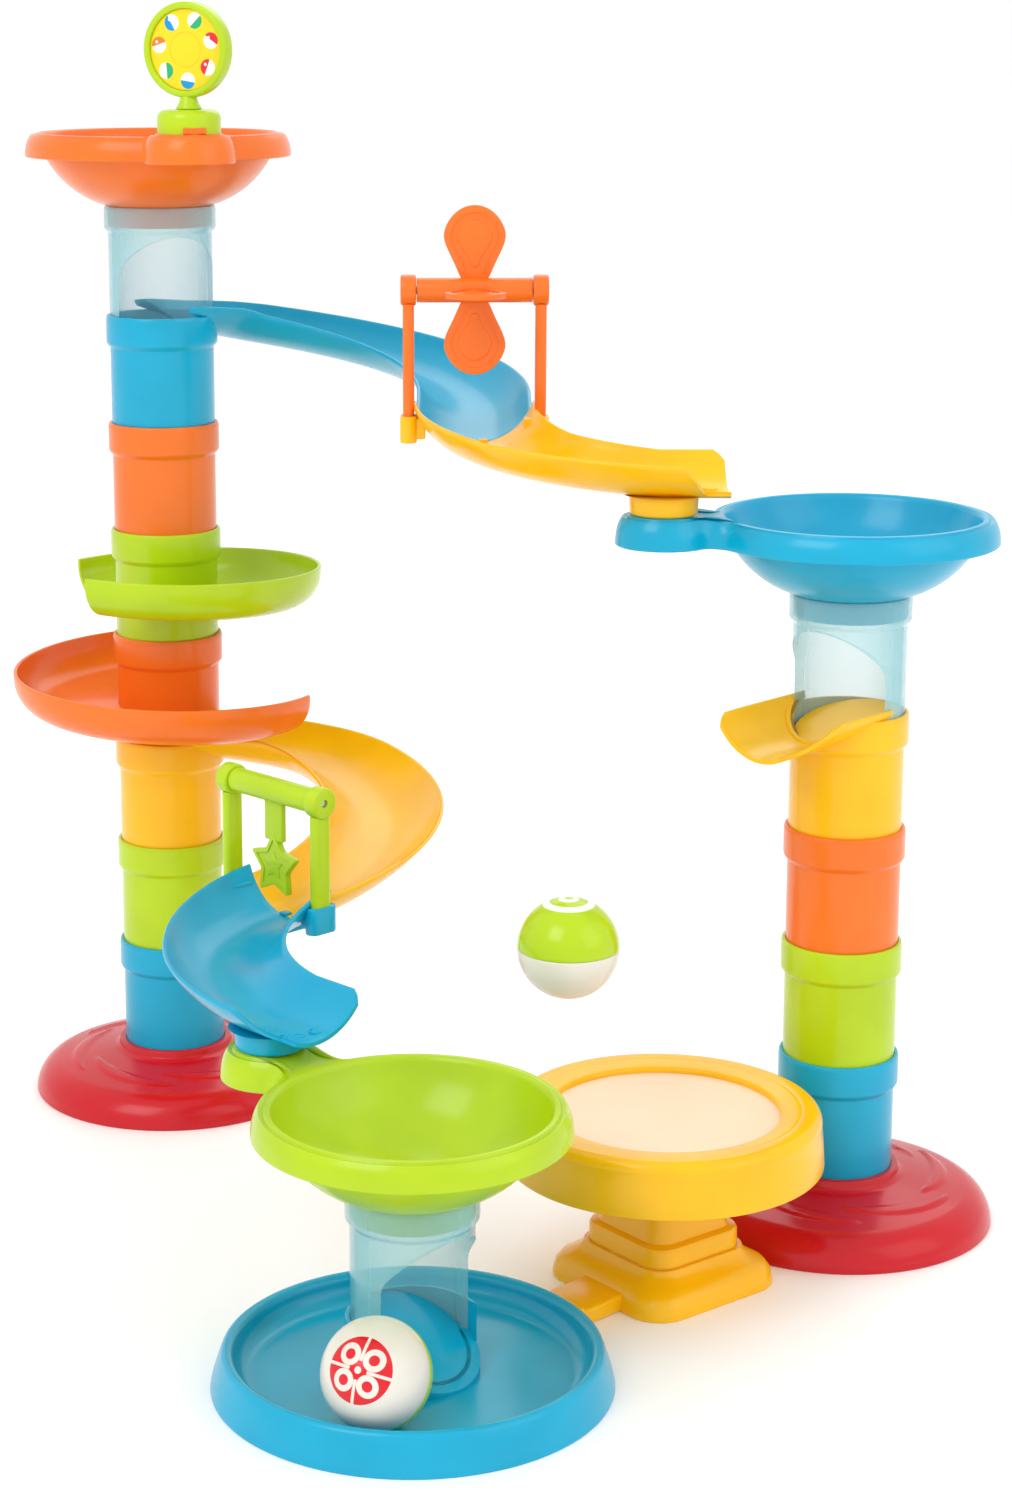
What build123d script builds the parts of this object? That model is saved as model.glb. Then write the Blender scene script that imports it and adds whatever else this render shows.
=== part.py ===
# Toy marble run: two towers of stacked tubes, curved chutes, bowls, a catch tray and a bounce drum.
#
# Millimetres, +Z up. The origin is on the floor under the middle of the whole layout.
# The layout is built up the way the toy goes together: each chute starts at its tower and ends at a
# gate, an extension chute hangs on that gate and sits with its peg on a bowl's lug, and the bowl's lug
# says where the next tower or tray stands.
from build123d import *

import os
from math import cos, pi, radians, sin, sqrt

# ------------------------------------------------------------------ driving sizes
BALL_D = 51.0
FIT = 0.05  # radial clearance of plugs in sockets and of shafts in bores
RUN_GAP = 0.3  # gap beside anything that turns
WALL = 2.2

# stacking tubes
TUBE_R = 29.5
TUBE_WALL = 2.0
PITCH = 61.8
COLLAR_WALL = 2.15
COLLAR_H = 16.0
COLLAR_TAPER = 2.5
SOCKET_DEPTH = 15.0
CLEAR_COLLAR_H = 12.5
CLEAR_SOCKET_DEPTH = 11.5
WINDOW_HALF_W = 28.3
WINDOW_SIDE_H = 21.0
WINDOW_TOP = 45.3

# round bases
BASE_R = 83.0
BASE_EDGE_R = 72.0
BASE_EDGE_H = 18.0
BASE_NECK_R = 33.0
BASE_NECK_H = 30.0
BASE_DOME_H = 24.0

# bowls
BOWL_R = 75.0
BOWL_CREST_R = 69.0
BOWL_INNER_R = 65.0
BOWL_SKIRT_Z = 27.7
BOWL_CREST_Z = 41.0
LUG_REACH = 100.0
LUG_R = 22.2
LUG_TOP_R = 18.6
LUG_TOP_Z = 44.0
LUG_H = 15.5
LUG_SOCKET_R = 12.0
LUG_SOCKET_DEPTH = 8.0
PLUG_LENGTH = 6.0

# chutes
CHUTE_HALF_W = 29.0
CHUTE_DEPTH = 17.4
CHUTE_WALL = 2.2
EXIT_DROP = 12.0  # from a chute module's collar top down to the chute floor
CHUTE_STEP = 10.0  # spacing of the sections along a chute
UPPER_HEADING = 36.0
UPPER_LINE = 36.0
UPPER_BEND_R, UPPER_BEND = 50.0, 34.0
UPPER_SWEEP_R, UPPER_SWEEP = 117.0, 92.0
UPPER_RUN_OUT = 33.8
LOWER_HEADING = 1.5
LOWER_LINE = 54.0
LOWER_BEND_R, LOWER_BEND = 50.0, 56.0
LOWER_SWEEP_R, LOWER_SWEEP = 134.0, 81.5
LOWER_BULGE_OUT = 10.0
LOWER_BULGE_IN = -5.0

# extension chutes and their pegs
EXT_TURN_R, EXT_TURN = 95.0, 90.0
EXT_TAIL = 33.0
EXT_DROP = 12.0
EXT_MOUTH_RISE = 4.6  # how much higher the rim stands at the gate
PEG_R = 17.65
PEG_H = 8.3

# gates
GATE_HALF_W = 35.0
POST_W, POST_L = 6.0, 11.7
SOCKET_W, SOCKET_L, SOCKET_H = 9.0, 18.0, 14.0
SOCKET_TOP = 16.0  # above the chute floor
GATE_CAP_D, GATE_CAP_L = 16.4, 8.3
AXLE_D = 4.0
HUB_D = 13.0
UPPER_AXLE_H = 82.5
LOWER_AXLE_H = 71.3
BLADE_REACH = 44.6
BLADE_HALF_W = 17.0
BLADE_WAIST = 9.0
BLADE_T = 3.0
FLAP_ARM_W = 14.0
FLAP_T = 4.0
STAR_R = 16.0
STAR_NOTCH = 0.55
STAR_DROP = 40.5
PADDLE_BLADES = 4

# spiral gutters
SPIRAL_R = 90.0
SPIRAL_SPAN = 247.0
SPIRAL_DEPTH = 24.0
SPIRAL_START_DROP = 15.0
SPIRAL_END_DROP = 31.0
SPIRAL_CORNER = 20.0
SPIRAL_STEP = 13.0
GREEN_SPIRAL_START = -115.0
ORANGE_SPIRAL_START = 93.0

# spout on the right tower
SPOUT_HEADING = 220.0
SPOUT_REACH = 66.0
SPOUT_HALF_W = 27.0
SPOUT_FALL = 4.0

# catch tray
TRAY_R = 95.3
TRAY_CREST_R = 87.8
TRAY_CREST_Z = 19.2
TRAY_FLOOR_R = 76.0
TRAY_FLOOR_Z = 6.0
TRAY_EXIT = -45.0
TRAY_COLLAR_Z = 34.9

# bounce drum
DRUM_REACH = 172.6
DRUM_AZIMUTH = 43.2
DRUM_R = 80.5
DRUM_CREST_R = 77.5
DRUM_SKIRT_Z = 64.3
DRUM_CREST_Z = 92.5
DRUM_RIM_INNER_R = 58.0
MEMBRANE_R = 66.0
MEMBRANE_T = 1.2
MEMBRANE_Z = 88.0
DRUM_PAN_R = 68.0
STEM_HALF = 25.5
STEM_CORNER = 10.0
STEM_TURN = 38.0
FOOT_HALF = 45.0
FOOT_TOP_HALF = 30.0
FOOT_CORNER = 18.0
FOOT_H = 20.0
TONGUE_W = 30.0
TONGUE_H = 9.0
SCREW_R = 2.0
SCREW_HEAD_R = 3.6
SCREW_PITCH = 34.0

# spinner on the top bowl
SPINNER_BASE_R = 17.0
SPINNER_BASE_H = 12.5
SPINNER_NECK_R, SPINNER_NECK_TOP_R = 7.2, 3.6
SPINNER_NECK_H = 8.0
SPINNER_RING_R = 25.0
SPINNER_RING_W = 3.6
SPINNER_RING_T = 9.0
SPINNER_FACE_T = 1.6
SPINNER_PIN_R = 2.0
SPINNER_TURN = -25.0
SPINNER_NOTCH_W, SPINNER_NOTCH_H = 12.6, 3.5

# which way the loose bowls, windows and balls are turned
LEFT_LUG = -75.0
RIGHT_LUG = 190.0
TRAY_LUG = 134.0
LEFT_WINDOW = -65.0
RIGHT_WINDOW = 227.5
TRAY_WINDOW = -45.5
TRAY_BALL_REACH, TRAY_BALL_AZIMUTH = 58.2, -105.7
BALL_WALL = 2.2
BALL_JOINT_LIP = 2.0
TRAY_BALL_TURN = -110.0
TRAY_BALL_SPLIT = 62.0  # how far the ball in the tray has rolled from split line level
BOUNCE_RISE = 63.5
BOUNCE_OFFSET = (-49.5, -5.2)

# ------------------------------------------------------------------ sizes that follow
BORE_R = TUBE_R - TUBE_WALL
SOCKET_R = TUBE_R + FIT
COLLAR_R = SOCKET_R + COLLAR_WALL
BALL_R = BALL_D / 2
LEFT_LEVELS = 8
RIGHT_LEVELS = 5
LOWER_CHUTE_LEVEL = 2
UPPER_CHUTE_LEVEL = 6
SPOUT_LEVEL = 3


def level_z(level):
    """Height of the floor end of a tower's module, counted up from the base."""
    return BASE_NECK_H + level * PITCH


RIGHT_BOWL_Z = level_z(RIGHT_LEVELS)
LEFT_BOWL_Z = level_z(LEFT_LEVELS)
TRAY_BOWL_Z = TRAY_COLLAR_Z + PITCH
PEG_TO_FLOOR = LUG_TOP_Z + PEG_H + CHUTE_WALL
UPPER_GATE_FLOOR = RIGHT_BOWL_Z + PEG_TO_FLOOR + EXT_DROP
LOWER_GATE_FLOOR = TRAY_BOWL_Z + PEG_TO_FLOOR + EXT_DROP


# ------------------------------------------------------------------ plan paths
def walk(start, heading, legs, step=CHUTE_STEP):
    """Stations along a plan path of straight legs ("line", length) and arcs ("left"/"right", r, turn).

    Each station is (x, y, heading in degrees, distance from the start).
    """
    x, y = start
    done = 0.0
    stations = [(x, y, heading, 0.0)]
    for leg in legs:
        kind, turn = leg[0], 0.0
        length = leg[1]
        if kind != "line":
            turn = leg[2] if kind == "left" else -leg[2]
            length = leg[1] * radians(leg[2])
        parts = max(1, round(length / step))
        for _ in range(parts):
            chord = length / parts
            if turn:
                chord = 2 * leg[1] * sin(radians(abs(turn) / parts / 2))
            middle = heading + turn / parts / 2
            x += chord * cos(radians(middle))
            y += chord * sin(radians(middle))
            heading += turn / parts
            done += length / parts
            stations.append((x, y, heading, done))
    return stations


def polar(centre, reach, azimuth):
    """Plan point at a distance and azimuth from another."""
    return centre[0] + reach * cos(radians(azimuth)), centre[1] + reach * sin(radians(azimuth))


UPPER_LEGS = [
    ("line", UPPER_LINE),
    ("right", UPPER_BEND_R, UPPER_BEND),
    ("right", UPPER_SWEEP_R, UPPER_SWEEP),
    ("line", UPPER_RUN_OUT),
]
LOWER_LEGS = [
    ("line", LOWER_LINE),
    ("right", LOWER_BEND_R, LOWER_BEND),
    ("right", LOWER_SWEEP_R, LOWER_SWEEP),
]
EXT_LEGS = [("left", EXT_TURN_R, EXT_TURN), ("line", EXT_TAIL)]
TURN_STATIONS = max(1, round(EXT_TURN_R * radians(EXT_TURN) / CHUTE_STEP))  # the peg is at the turn's end


def layout(left):
    """Where everything stands, from the place of the left tower."""
    upper = walk(left, UPPER_HEADING, UPPER_LEGS)
    lower = walk(left, LOWER_HEADING, LOWER_LEGS)
    upper_ext = walk(upper[-1][:2], upper[-1][2], EXT_LEGS)
    lower_ext = walk(lower[-1][:2], lower[-1][2], EXT_LEGS)
    right = polar(upper_ext[TURN_STATIONS][:2], -LUG_REACH, RIGHT_LUG)
    tray = polar(lower_ext[TURN_STATIONS][:2], -LUG_REACH, TRAY_LUG)
    return {
        "left": left,
        "upper": upper,
        "lower": lower,
        "upper_ext": upper_ext,
        "lower_ext": lower_ext,
        "right": right,
        "tray": tray,
        "drum": polar(tray, DRUM_REACH, DRUM_AZIMUTH),
    }


FROM_LEFT = layout((0.0, 0.0))
LEFT = (
    (SPIRAL_R - FROM_LEFT["right"][0] - BASE_R) / 2,
    (TRAY_R - SPIRAL_R - FROM_LEFT["tray"][1]) / 2,
)
PLAN = layout(LEFT)


# ------------------------------------------------------------------ shape helpers
def at(place, z=0.0, turn=0.0):
    """Location of a piece on the plan."""
    return Pos(place[0], place[1], z) * Rot(0, 0, turn)


def revolved(points):
    """Solid of revolution about Z of a closed outline of (radius, height) points."""
    outline = Plane.XZ * Polyline(*points, close=True)
    return revolve(make_face(outline), Axis.Z)


def revolved_edges(edges):
    """Solid of revolution about Z of a closed outline of edges drawn as (radius, height)."""
    return revolve(make_face([Plane.XZ * edge for edge in edges]), Axis.Z)


def cylinder(radius, low, high):
    """Upright cylinder between two heights."""
    return Pos(0, 0, (low + high) / 2) * Cylinder(radius, high - low)


def stadium(width, length, low, high):
    """Upright bar with a round-ended section, long side along Y."""
    outline = SlotOverall(length, width, rotation=90)
    return Pos(0, 0, low) * extrude(outline, high - low)


def rounded_bar(half, corner, low, high):
    """Upright square bar with rounded corners."""
    return Pos(0, 0, low) * extrude(RectangleRounded(2 * half, 2 * half, corner), high - low)


def station_plane(station, z):
    """Upright plane across a path: x to the left of the path, y up."""
    heading = radians(station[2])
    return Plane(
        origin=(station[0], station[1], z),
        x_dir=(-sin(heading), cos(heading), 0),
        z_dir=(cos(heading), sin(heading), 0),
    )


def trough_face(left, right, depth):
    """Section of a trough wall: an inner arc from rim to rim and an outer arc one wall below it."""
    inner = ThreePointArc((left, depth), (0, 0), (-right, depth))
    outer = ThreePointArc((left + CHUTE_WALL, depth), (0, -CHUTE_WALL), (-right - CHUTE_WALL, depth))
    left_lip = Line((left, depth), (left + CHUTE_WALL, depth))
    right_lip = Line((-right, depth), (-right - CHUTE_WALL, depth))
    return make_face([inner, outer, left_lip, right_lip])


def hollow_face(left, right, depth, headroom):
    """Section of the space in a trough, from its floor to some way above its rim."""
    inner = ThreePointArc((left, depth), (0, 0), (-right, depth))
    sides = Polyline((left, depth), (left, depth + headroom), (-right, depth + headroom), (-right, depth))
    return make_face([inner, sides])


def lofted(stations, floor, face):
    """Loft a section along path stations, with floor(distance) and face(distance) giving each one."""
    sections = []
    for station in stations:
        sections.append(station_plane(station, floor(station[3])) * face(station[3]))
    return loft(sections)


def between(start, end, fraction):
    """Linear blend."""
    return start + (end - start) * fraction


# ------------------------------------------------------------------ tubes and bases
def tube_body(collar_h, socket_depth):
    """Stacking tube, from its plain lower end to the collar that takes the next one."""
    return revolved(
        [
            (BORE_R, -SOCKET_DEPTH),
            (TUBE_R, -SOCKET_DEPTH),
            (TUBE_R, PITCH - collar_h - COLLAR_TAPER),
            (COLLAR_R, PITCH - collar_h),
            (COLLAR_R, PITCH),
            (SOCKET_R, PITCH),
            (SOCKET_R, PITCH - socket_depth),
            (BORE_R, PITCH - socket_depth),
        ]
    )


def plain_tube():
    """Coloured stacking tube."""
    return tube_body(COLLAR_H, SOCKET_DEPTH)


def window_tube(azimuth):
    """Clear tube with an arched window that is open at the bottom."""
    low = -SOCKET_DEPTH - 1
    arch = Pos(0, WINDOW_SIDE_H) * Ellipse(WINDOW_HALF_W, WINDOW_TOP - WINDOW_SIDE_H)
    side = Pos(0, (WINDOW_SIDE_H + low) / 2) * Rectangle(2 * WINDOW_HALF_W, WINDOW_SIDE_H - low)
    cutter = extrude(Plane.YZ * (arch + side), 2 * TUBE_R)
    return tube_body(CLEAR_COLLAR_H, CLEAR_SOCKET_DEPTH) - Rot(0, 0, azimuth) * cutter


def tower_base():
    """Round base: a shell with a cup that takes the first tube."""
    seat = BASE_NECK_H - SOCKET_DEPTH
    under = seat - WALL
    return revolved(
        [
            (BASE_R, 0),
            (BASE_EDGE_R, BASE_EDGE_H),
            (BASE_NECK_R, BASE_DOME_H),
            (BASE_NECK_R, BASE_NECK_H),
            (SOCKET_R, BASE_NECK_H),
            (SOCKET_R, seat),
            (0, seat),
            (0, under),
            (BASE_NECK_R, under),
            (BASE_NECK_R, BASE_DOME_H - WALL),
            (BASE_EDGE_R - WALL, BASE_EDGE_H - WALL),
            (BASE_R - WALL - 1, 0),
        ]
    )


# ------------------------------------------------------------------ bowls
def bowl(lug_azimuth):
    """Bowl with a spigot below, a rolled skirt around and a lug that carries a peg."""
    under_r = BOWL_INNER_R + WALL
    edges = [
        Line((BORE_R, -CLEAR_SOCKET_DEPTH), (BORE_R, 2)),
        ThreePointArc((BORE_R, 2), (49, 13), (BOWL_INNER_R, BOWL_CREST_Z - 3)),
        ThreePointArc(
            (BOWL_INNER_R, BOWL_CREST_Z - 3), (BOWL_INNER_R + 1, BOWL_CREST_Z - 0.8), (BOWL_INNER_R + 3, BOWL_CREST_Z)
        ),
        Line((BOWL_INNER_R + 3, BOWL_CREST_Z), (BOWL_CREST_R, BOWL_CREST_Z)),
        Line((BOWL_CREST_R, BOWL_CREST_Z), (BOWL_R, BOWL_SKIRT_Z)),
        Line((BOWL_R, BOWL_SKIRT_Z), (BOWL_R - WALL, BOWL_SKIRT_Z)),
        Line((BOWL_R - WALL, BOWL_SKIRT_Z), (under_r + 1.2, BOWL_CREST_Z - WALL - 1)),
        Line((under_r + 1.2, BOWL_CREST_Z - WALL - 1), (under_r, BOWL_CREST_Z - WALL - 2.8)),
        ThreePointArc((under_r, BOWL_CREST_Z - WALL - 2.8), (50, 10.6), (TUBE_R, 0)),
        Line((TUBE_R, 0), (TUBE_R, -CLEAR_SOCKET_DEPTH)),
        Line((TUBE_R, -CLEAR_SOCKET_DEPTH), (BORE_R, -CLEAR_SOCKET_DEPTH)),
    ]
    shell = revolved_edges(edges)
    lug_low = LUG_TOP_Z - LUG_H
    lug = Pos(LUG_REACH, 0, (lug_low + LUG_TOP_Z) / 2) * Cone(LUG_R, LUG_TOP_R, LUG_H)
    web_w = 2 * LUG_TOP_R
    web_low, web_high = lug_low, BOWL_CREST_Z - 0.5
    web_x0, web_x1 = BOWL_CREST_R - 2, LUG_REACH
    web = Pos((web_x0 + web_x1) / 2, 0, (web_low + web_high) / 2) * Box(web_x1 - web_x0, web_w, web_high - web_low)
    hollow = Pos(LUG_REACH, 0, lug_low) * cylinder(LUG_SOCKET_R + 2, -1, LUG_H - LUG_SOCKET_DEPTH - WALL)
    socket = Pos(LUG_REACH, 0, LUG_TOP_Z) * cylinder(LUG_SOCKET_R, -LUG_SOCKET_DEPTH, 1)
    keep_out = cylinder(BOWL_CREST_R - 1, 0, LUG_TOP_Z + 1)
    arm = lug + web - keep_out - hollow - socket
    return Rot(0, 0, lug_azimuth) * (shell + arm)


# ------------------------------------------------------------------ chute modules
def chute_floor(collar_z, gate_floor, stations):
    """Floor height along a tower's chute, as a function of distance."""
    start, end = TUBE_R, stations[-1][3]
    high = collar_z - EXIT_DROP
    return lambda distance: between(high, gate_floor, max(0.0, distance - start) / (end - start))


def chute_widths(stations, bulge_out, bulge_in):
    """Half widths to the left and right along a tower's chute, as a function of distance."""
    start, end = TUBE_R, stations[-1][3]

    def widths(distance):
        swell = sin(pi * max(0.0, distance - start) / (end - start))
        return CHUTE_HALF_W + bulge_out * swell, CHUTE_HALF_W + bulge_in * swell

    return widths


def deflector(exit_azimuth, low_drop):
    """Slanted plug in a module's collar that turns a falling ball out sideways."""
    outer_r = BORE_R - FIT
    bottom = PITCH - SOCKET_DEPTH - 3
    slope_low, slope_high = PITCH - low_drop, PITCH + 0.5

    def wedge(radius, drop):
        outline = Polyline(
            (-radius, bottom), (radius, bottom), (radius, slope_low - drop), (-radius, slope_high - drop), close=True
        )
        slab = extrude(Plane.XZ * make_face(outline), radius, both=True)
        return slab & cylinder(radius, bottom, slope_high)

    shell = wedge(outer_r, 0) - wedge(outer_r - WALL, WALL)
    ring = cylinder(BORE_R, bottom, PITCH - SOCKET_DEPTH) - cylinder(outer_r - WALL, bottom, PITCH - SOCKET_DEPTH)
    return Rot(0, 0, exit_azimuth) * (shell + ring)


def chute_module(place, level, stations, gate_floor, bulge_out, bulge_in, open_top):
    """Tower module with a curved chute that starts beside its collar and ends at a gate."""
    collar_z = level_z(level + 1)
    floor = chute_floor(collar_z, gate_floor, stations)
    widths = chute_widths(stations, bulge_out, bulge_in)
    depth = CHUTE_DEPTH
    trough = lofted(stations[1:], floor, lambda d: trough_face(*widths(d), depth))
    stand = at(place, level_z(level), stations[0][2] + 180)
    core = stand * cylinder(SOCKET_R + COLLAR_WALL / 2, 0, 2 * PITCH)
    body = stand * plain_tube()
    module = body + (trough - core)
    if open_top:
        notch = lofted(stations[1:4], floor, lambda d: hollow_face(*widths(d), depth, COLLAR_H))
        bore = stand * cylinder(BORE_R, 0, 2 * PITCH)
        module = module - (notch - bore)
        module = module + at(place, level_z(level)) * deflector(stations[0][2], EXIT_DROP + 1.5)
    return module


def spout_module(place):
    """Right tower's module: its collar opens into a short spout over the drum."""
    stations = walk(place, SPOUT_HEADING, [("line", SPOUT_REACH)], 9.0)
    collar_z = level_z(SPOUT_LEVEL + 1)
    start = collar_z - EXIT_DROP
    half = SPOUT_HALF_W

    def floor(distance):
        return start - SPOUT_FALL * distance / SPOUT_REACH

    trough = lofted(stations[2:], floor, lambda d: trough_face(half, half, CHUTE_DEPTH))
    notch = lofted(stations[2:6], floor, lambda d: hollow_face(half, half, CHUTE_DEPTH, COLLAR_H))
    core = at(place, level_z(SPOUT_LEVEL)) * cylinder(SOCKET_R + COLLAR_WALL / 2, 0, 2 * PITCH)
    bore = at(place, level_z(SPOUT_LEVEL)) * cylinder(BORE_R, 0, 2 * PITCH)
    body = at(place, level_z(SPOUT_LEVEL)) * plain_tube()
    module = body + (trough - core) - (notch - bore)
    return module + at(place, level_z(SPOUT_LEVEL)) * deflector(SPOUT_HEADING, EXIT_DROP + 2)


# ------------------------------------------------------------------ spirals
def spiral_face():
    """Section of a spiral gutter as (radius, height above its rim)."""
    root = (TUBE_R + BORE_R) / 2
    deep = -SPIRAL_DEPTH
    outer_flat = SPIRAL_R - SPIRAL_CORNER
    inner_r = SPIRAL_CORNER - WALL
    bow = sqrt(0.5)
    edges = [
        Line((root, deep), (outer_flat, deep)),
        ThreePointArc(
            (outer_flat, deep),
            (outer_flat + SPIRAL_CORNER * bow, deep + SPIRAL_CORNER * (1 - bow)),
            (SPIRAL_R, deep + SPIRAL_CORNER),
        ),
        Line((SPIRAL_R, deep + SPIRAL_CORNER), (SPIRAL_R, 0)),
        Line((SPIRAL_R, 0), (SPIRAL_R - WALL, 0)),
        Line((SPIRAL_R - WALL, 0), (SPIRAL_R - WALL, deep + SPIRAL_CORNER)),
        ThreePointArc(
            (SPIRAL_R - WALL, deep + SPIRAL_CORNER),
            (outer_flat + inner_r * bow, deep + SPIRAL_CORNER - inner_r * bow),
            (outer_flat, deep + WALL),
        ),
        Line((outer_flat, deep + WALL), (root, deep + WALL)),
        Line((root, deep + WALL), (root, deep)),
    ]
    return make_face(edges)


def spiral_module(start_azimuth):
    """Tower module with a gutter that falls anticlockwise around it."""
    face = spiral_face()
    count = round(SPIRAL_SPAN / SPIRAL_STEP)
    sections = []
    for index in range(count + 1):
        fraction = index / count
        turn = radians(start_azimuth + SPIRAL_SPAN * fraction)
        rim = PITCH - between(SPIRAL_START_DROP, SPIRAL_END_DROP, fraction)
        plane = Plane(origin=(0, 0, rim), x_dir=(cos(turn), sin(turn), 0), z_dir=(sin(turn), -cos(turn), 0))
        sections.append(plane * face)
    return plain_tube() + loft(sections[::-1])


# ------------------------------------------------------------------ extension chutes
def extension_chute():
    """Chute that takes a gate's posts at its mouth and sits with its peg on a bowl's lug.

    It starts at the origin along +X, with its floor at height 0 there.
    """
    stations = walk((0.0, 0.0), 0.0, EXT_LEGS)
    peg = stations[TURN_STATIONS]
    turn_length = EXT_TURN_R * radians(EXT_TURN)

    def floor(distance):
        return -EXT_DROP * min(1.0, distance / turn_length)

    def depth(distance):
        return CHUTE_DEPTH + EXT_MOUTH_RISE * max(0.0, 1 - distance / (turn_length / 2))

    half = CHUTE_HALF_W
    trough = lofted(stations, floor, lambda d: trough_face(half, half, depth(d)))
    mid = CHUTE_WALL / 2  # what joins the trough from outside ends in the middle of its wall
    space = lofted(
        stations, lambda d: floor(d) - mid, lambda d: hollow_face(half + mid, half + mid, depth(d) + mid, SOCKET_TOP)
    )
    cups, bores = Part(), Part()
    cup_low = SOCKET_TOP - SOCKET_H
    for side in (-1, 1):
        cup = stadium(SOCKET_W, SOCKET_L, cup_low, SOCKET_TOP)
        bore = stadium(POST_W + 2 * FIT, POST_L + 2 * FIT, cup_low + WALL, CHUTE_DEPTH + EXT_MOUTH_RISE + 1)
        web_w = GATE_HALF_W - CHUTE_HALF_W + WALL
        web = Pos(0, -side * web_w / 2, (cup_low + SOCKET_TOP) / 2 + 1) * Box(SOCKET_L - SOCKET_W, web_w, SOCKET_H - 2)
        spot = Pos(SOCKET_L / 2, side * GATE_HALF_W, 0)
        cups += spot * (Rot(0, 0, 90) * cup + web)
        bores += spot * Rot(0, 0, 90) * bore
    plug_floor = -PEG_TO_FLOOR - EXT_DROP + LUG_TOP_Z
    post = at(peg[:2], plug_floor) * cylinder(PEG_R, 0, PEG_H + CHUTE_DEPTH / 2)
    plug = at(peg[:2], plug_floor) * cylinder(LUG_SOCKET_R - FIT, -PLUG_LENGTH, 0)
    clip_low, clip_high = -CHUTE_WALL - 4.3, -CHUTE_WALL - 0.1
    clip = Box(16, 12, clip_high - clip_low)
    clip = Pos(-2, 0, (clip_low + clip_high) / 2) * clip + Pos(3.2, 0, -CHUTE_WALL) * Box(6, 12, 3)
    chute = trough + (cups - space) + (post - space) + (clip - space)
    return chute + plug - bores


# ------------------------------------------------------------------ gates
def gate_post(axle_h):
    """Gate post: a flat bar with a round cap that holds the axle. Axle along Y at the height given."""
    low = SOCKET_TOP - SOCKET_H + WALL
    bar = Rot(0, 0, 90) * stadium(POST_W, POST_L, low, axle_h)
    cap = Pos(0, 0, axle_h) * Rot(90, 0, 0) * Cylinder(GATE_CAP_D / 2, GATE_CAP_L)
    bore = Pos(0, 0, axle_h) * Rot(90, 0, 0) * Cylinder(AXLE_D / 2, 4 * GATE_CAP_L)
    return bar + cap - bore


def gate_axle(axle_h):
    """Pin through both posts and the hub between them."""
    return Pos(0, 0, axle_h) * Rot(90, 0, 0) * Cylinder(AXLE_D / 2, 2 * GATE_HALF_W + GATE_CAP_L - 2)


def gate_hub(axle_h):
    """Tube that turns on the axle."""
    length = 2 * GATE_HALF_W - GATE_CAP_L - 2 * RUN_GAP
    hub = Cylinder(HUB_D / 2, length) - Cylinder(AXLE_D / 2 + FIT, length + 2)
    return Pos(0, 0, axle_h) * Rot(90, 0, 0) * hub


def paddle_wheel(axle_h):
    """Hub with bow-tie blades."""
    tip_r = BLADE_HALF_W
    wheel = gate_hub(axle_h)
    tip = Pos(0, BLADE_REACH - tip_r) * Circle(tip_r)
    stem = make_face(
        Polyline(
            (-BLADE_WAIST, HUB_D / 2 - 1),
            (BLADE_WAIST, HUB_D / 2 - 1),
            (BLADE_WAIST, HUB_D / 2 + 3),
            (tip_r * 0.8, BLADE_REACH - 1.6 * tip_r),
            (-tip_r * 0.8, BLADE_REACH - 1.6 * tip_r),
            (-BLADE_WAIST, HUB_D / 2 + 3),
            close=True,
        )
    )
    outline = tip + stem
    blade = extrude(Plane.YZ * outline, BLADE_T / 2, both=True)
    for index in range(PADDLE_BLADES):
        turned = Rot(0, 360 * index / PADDLE_BLADES, 0) * blade
        wheel += Pos(0, 0, axle_h) * turned
    return wheel - Pos(0, 0, axle_h) * Rot(90, 0, 0) * Cylinder(AXLE_D / 2 + FIT, 4 * BLADE_REACH)


def star_flap(axle_h):
    """Hub with a hanging arm and a star that the ball knocks aside."""
    points = []
    for index in range(10):
        radius = STAR_R if index % 2 == 0 else STAR_R * STAR_NOTCH
        angle = radians(90 + 36 * index)
        points.append((radius * cos(angle), radius * sin(angle) - STAR_DROP))
    star = make_face(Polyline(*points, close=True))
    arm_low = -STAR_DROP
    arm_high = 1 - HUB_D / 2
    arm = Pos(0, (arm_low + arm_high) / 2) * Rectangle(FLAP_ARM_W, arm_high - arm_low)
    plate = extrude(Plane.YZ * (star + arm), FLAP_T / 2, both=True)
    flap = gate_hub(axle_h) + Pos(0, 0, axle_h) * plate
    return flap - Pos(0, 0, axle_h) * Rot(90, 0, 0) * Cylinder(AXLE_D / 2 + FIT, 2 * GATE_HALF_W)


def gate_place(station, floor):
    """Where a gate stands: its axle runs across the path, above the sockets."""
    return at(station[:2], floor, station[2]) * Pos(SOCKET_L / 2, 0, 0)


# ------------------------------------------------------------------ tray
def tray_outline():
    """Outer outline of the tray, as a full solid."""
    return [(0, 0), (TRAY_R, 0), (TRAY_CREST_R + 1.5, TRAY_CREST_Z - 0.7), (TRAY_CREST_R, TRAY_CREST_Z), (0, TRAY_CREST_Z)]


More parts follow.
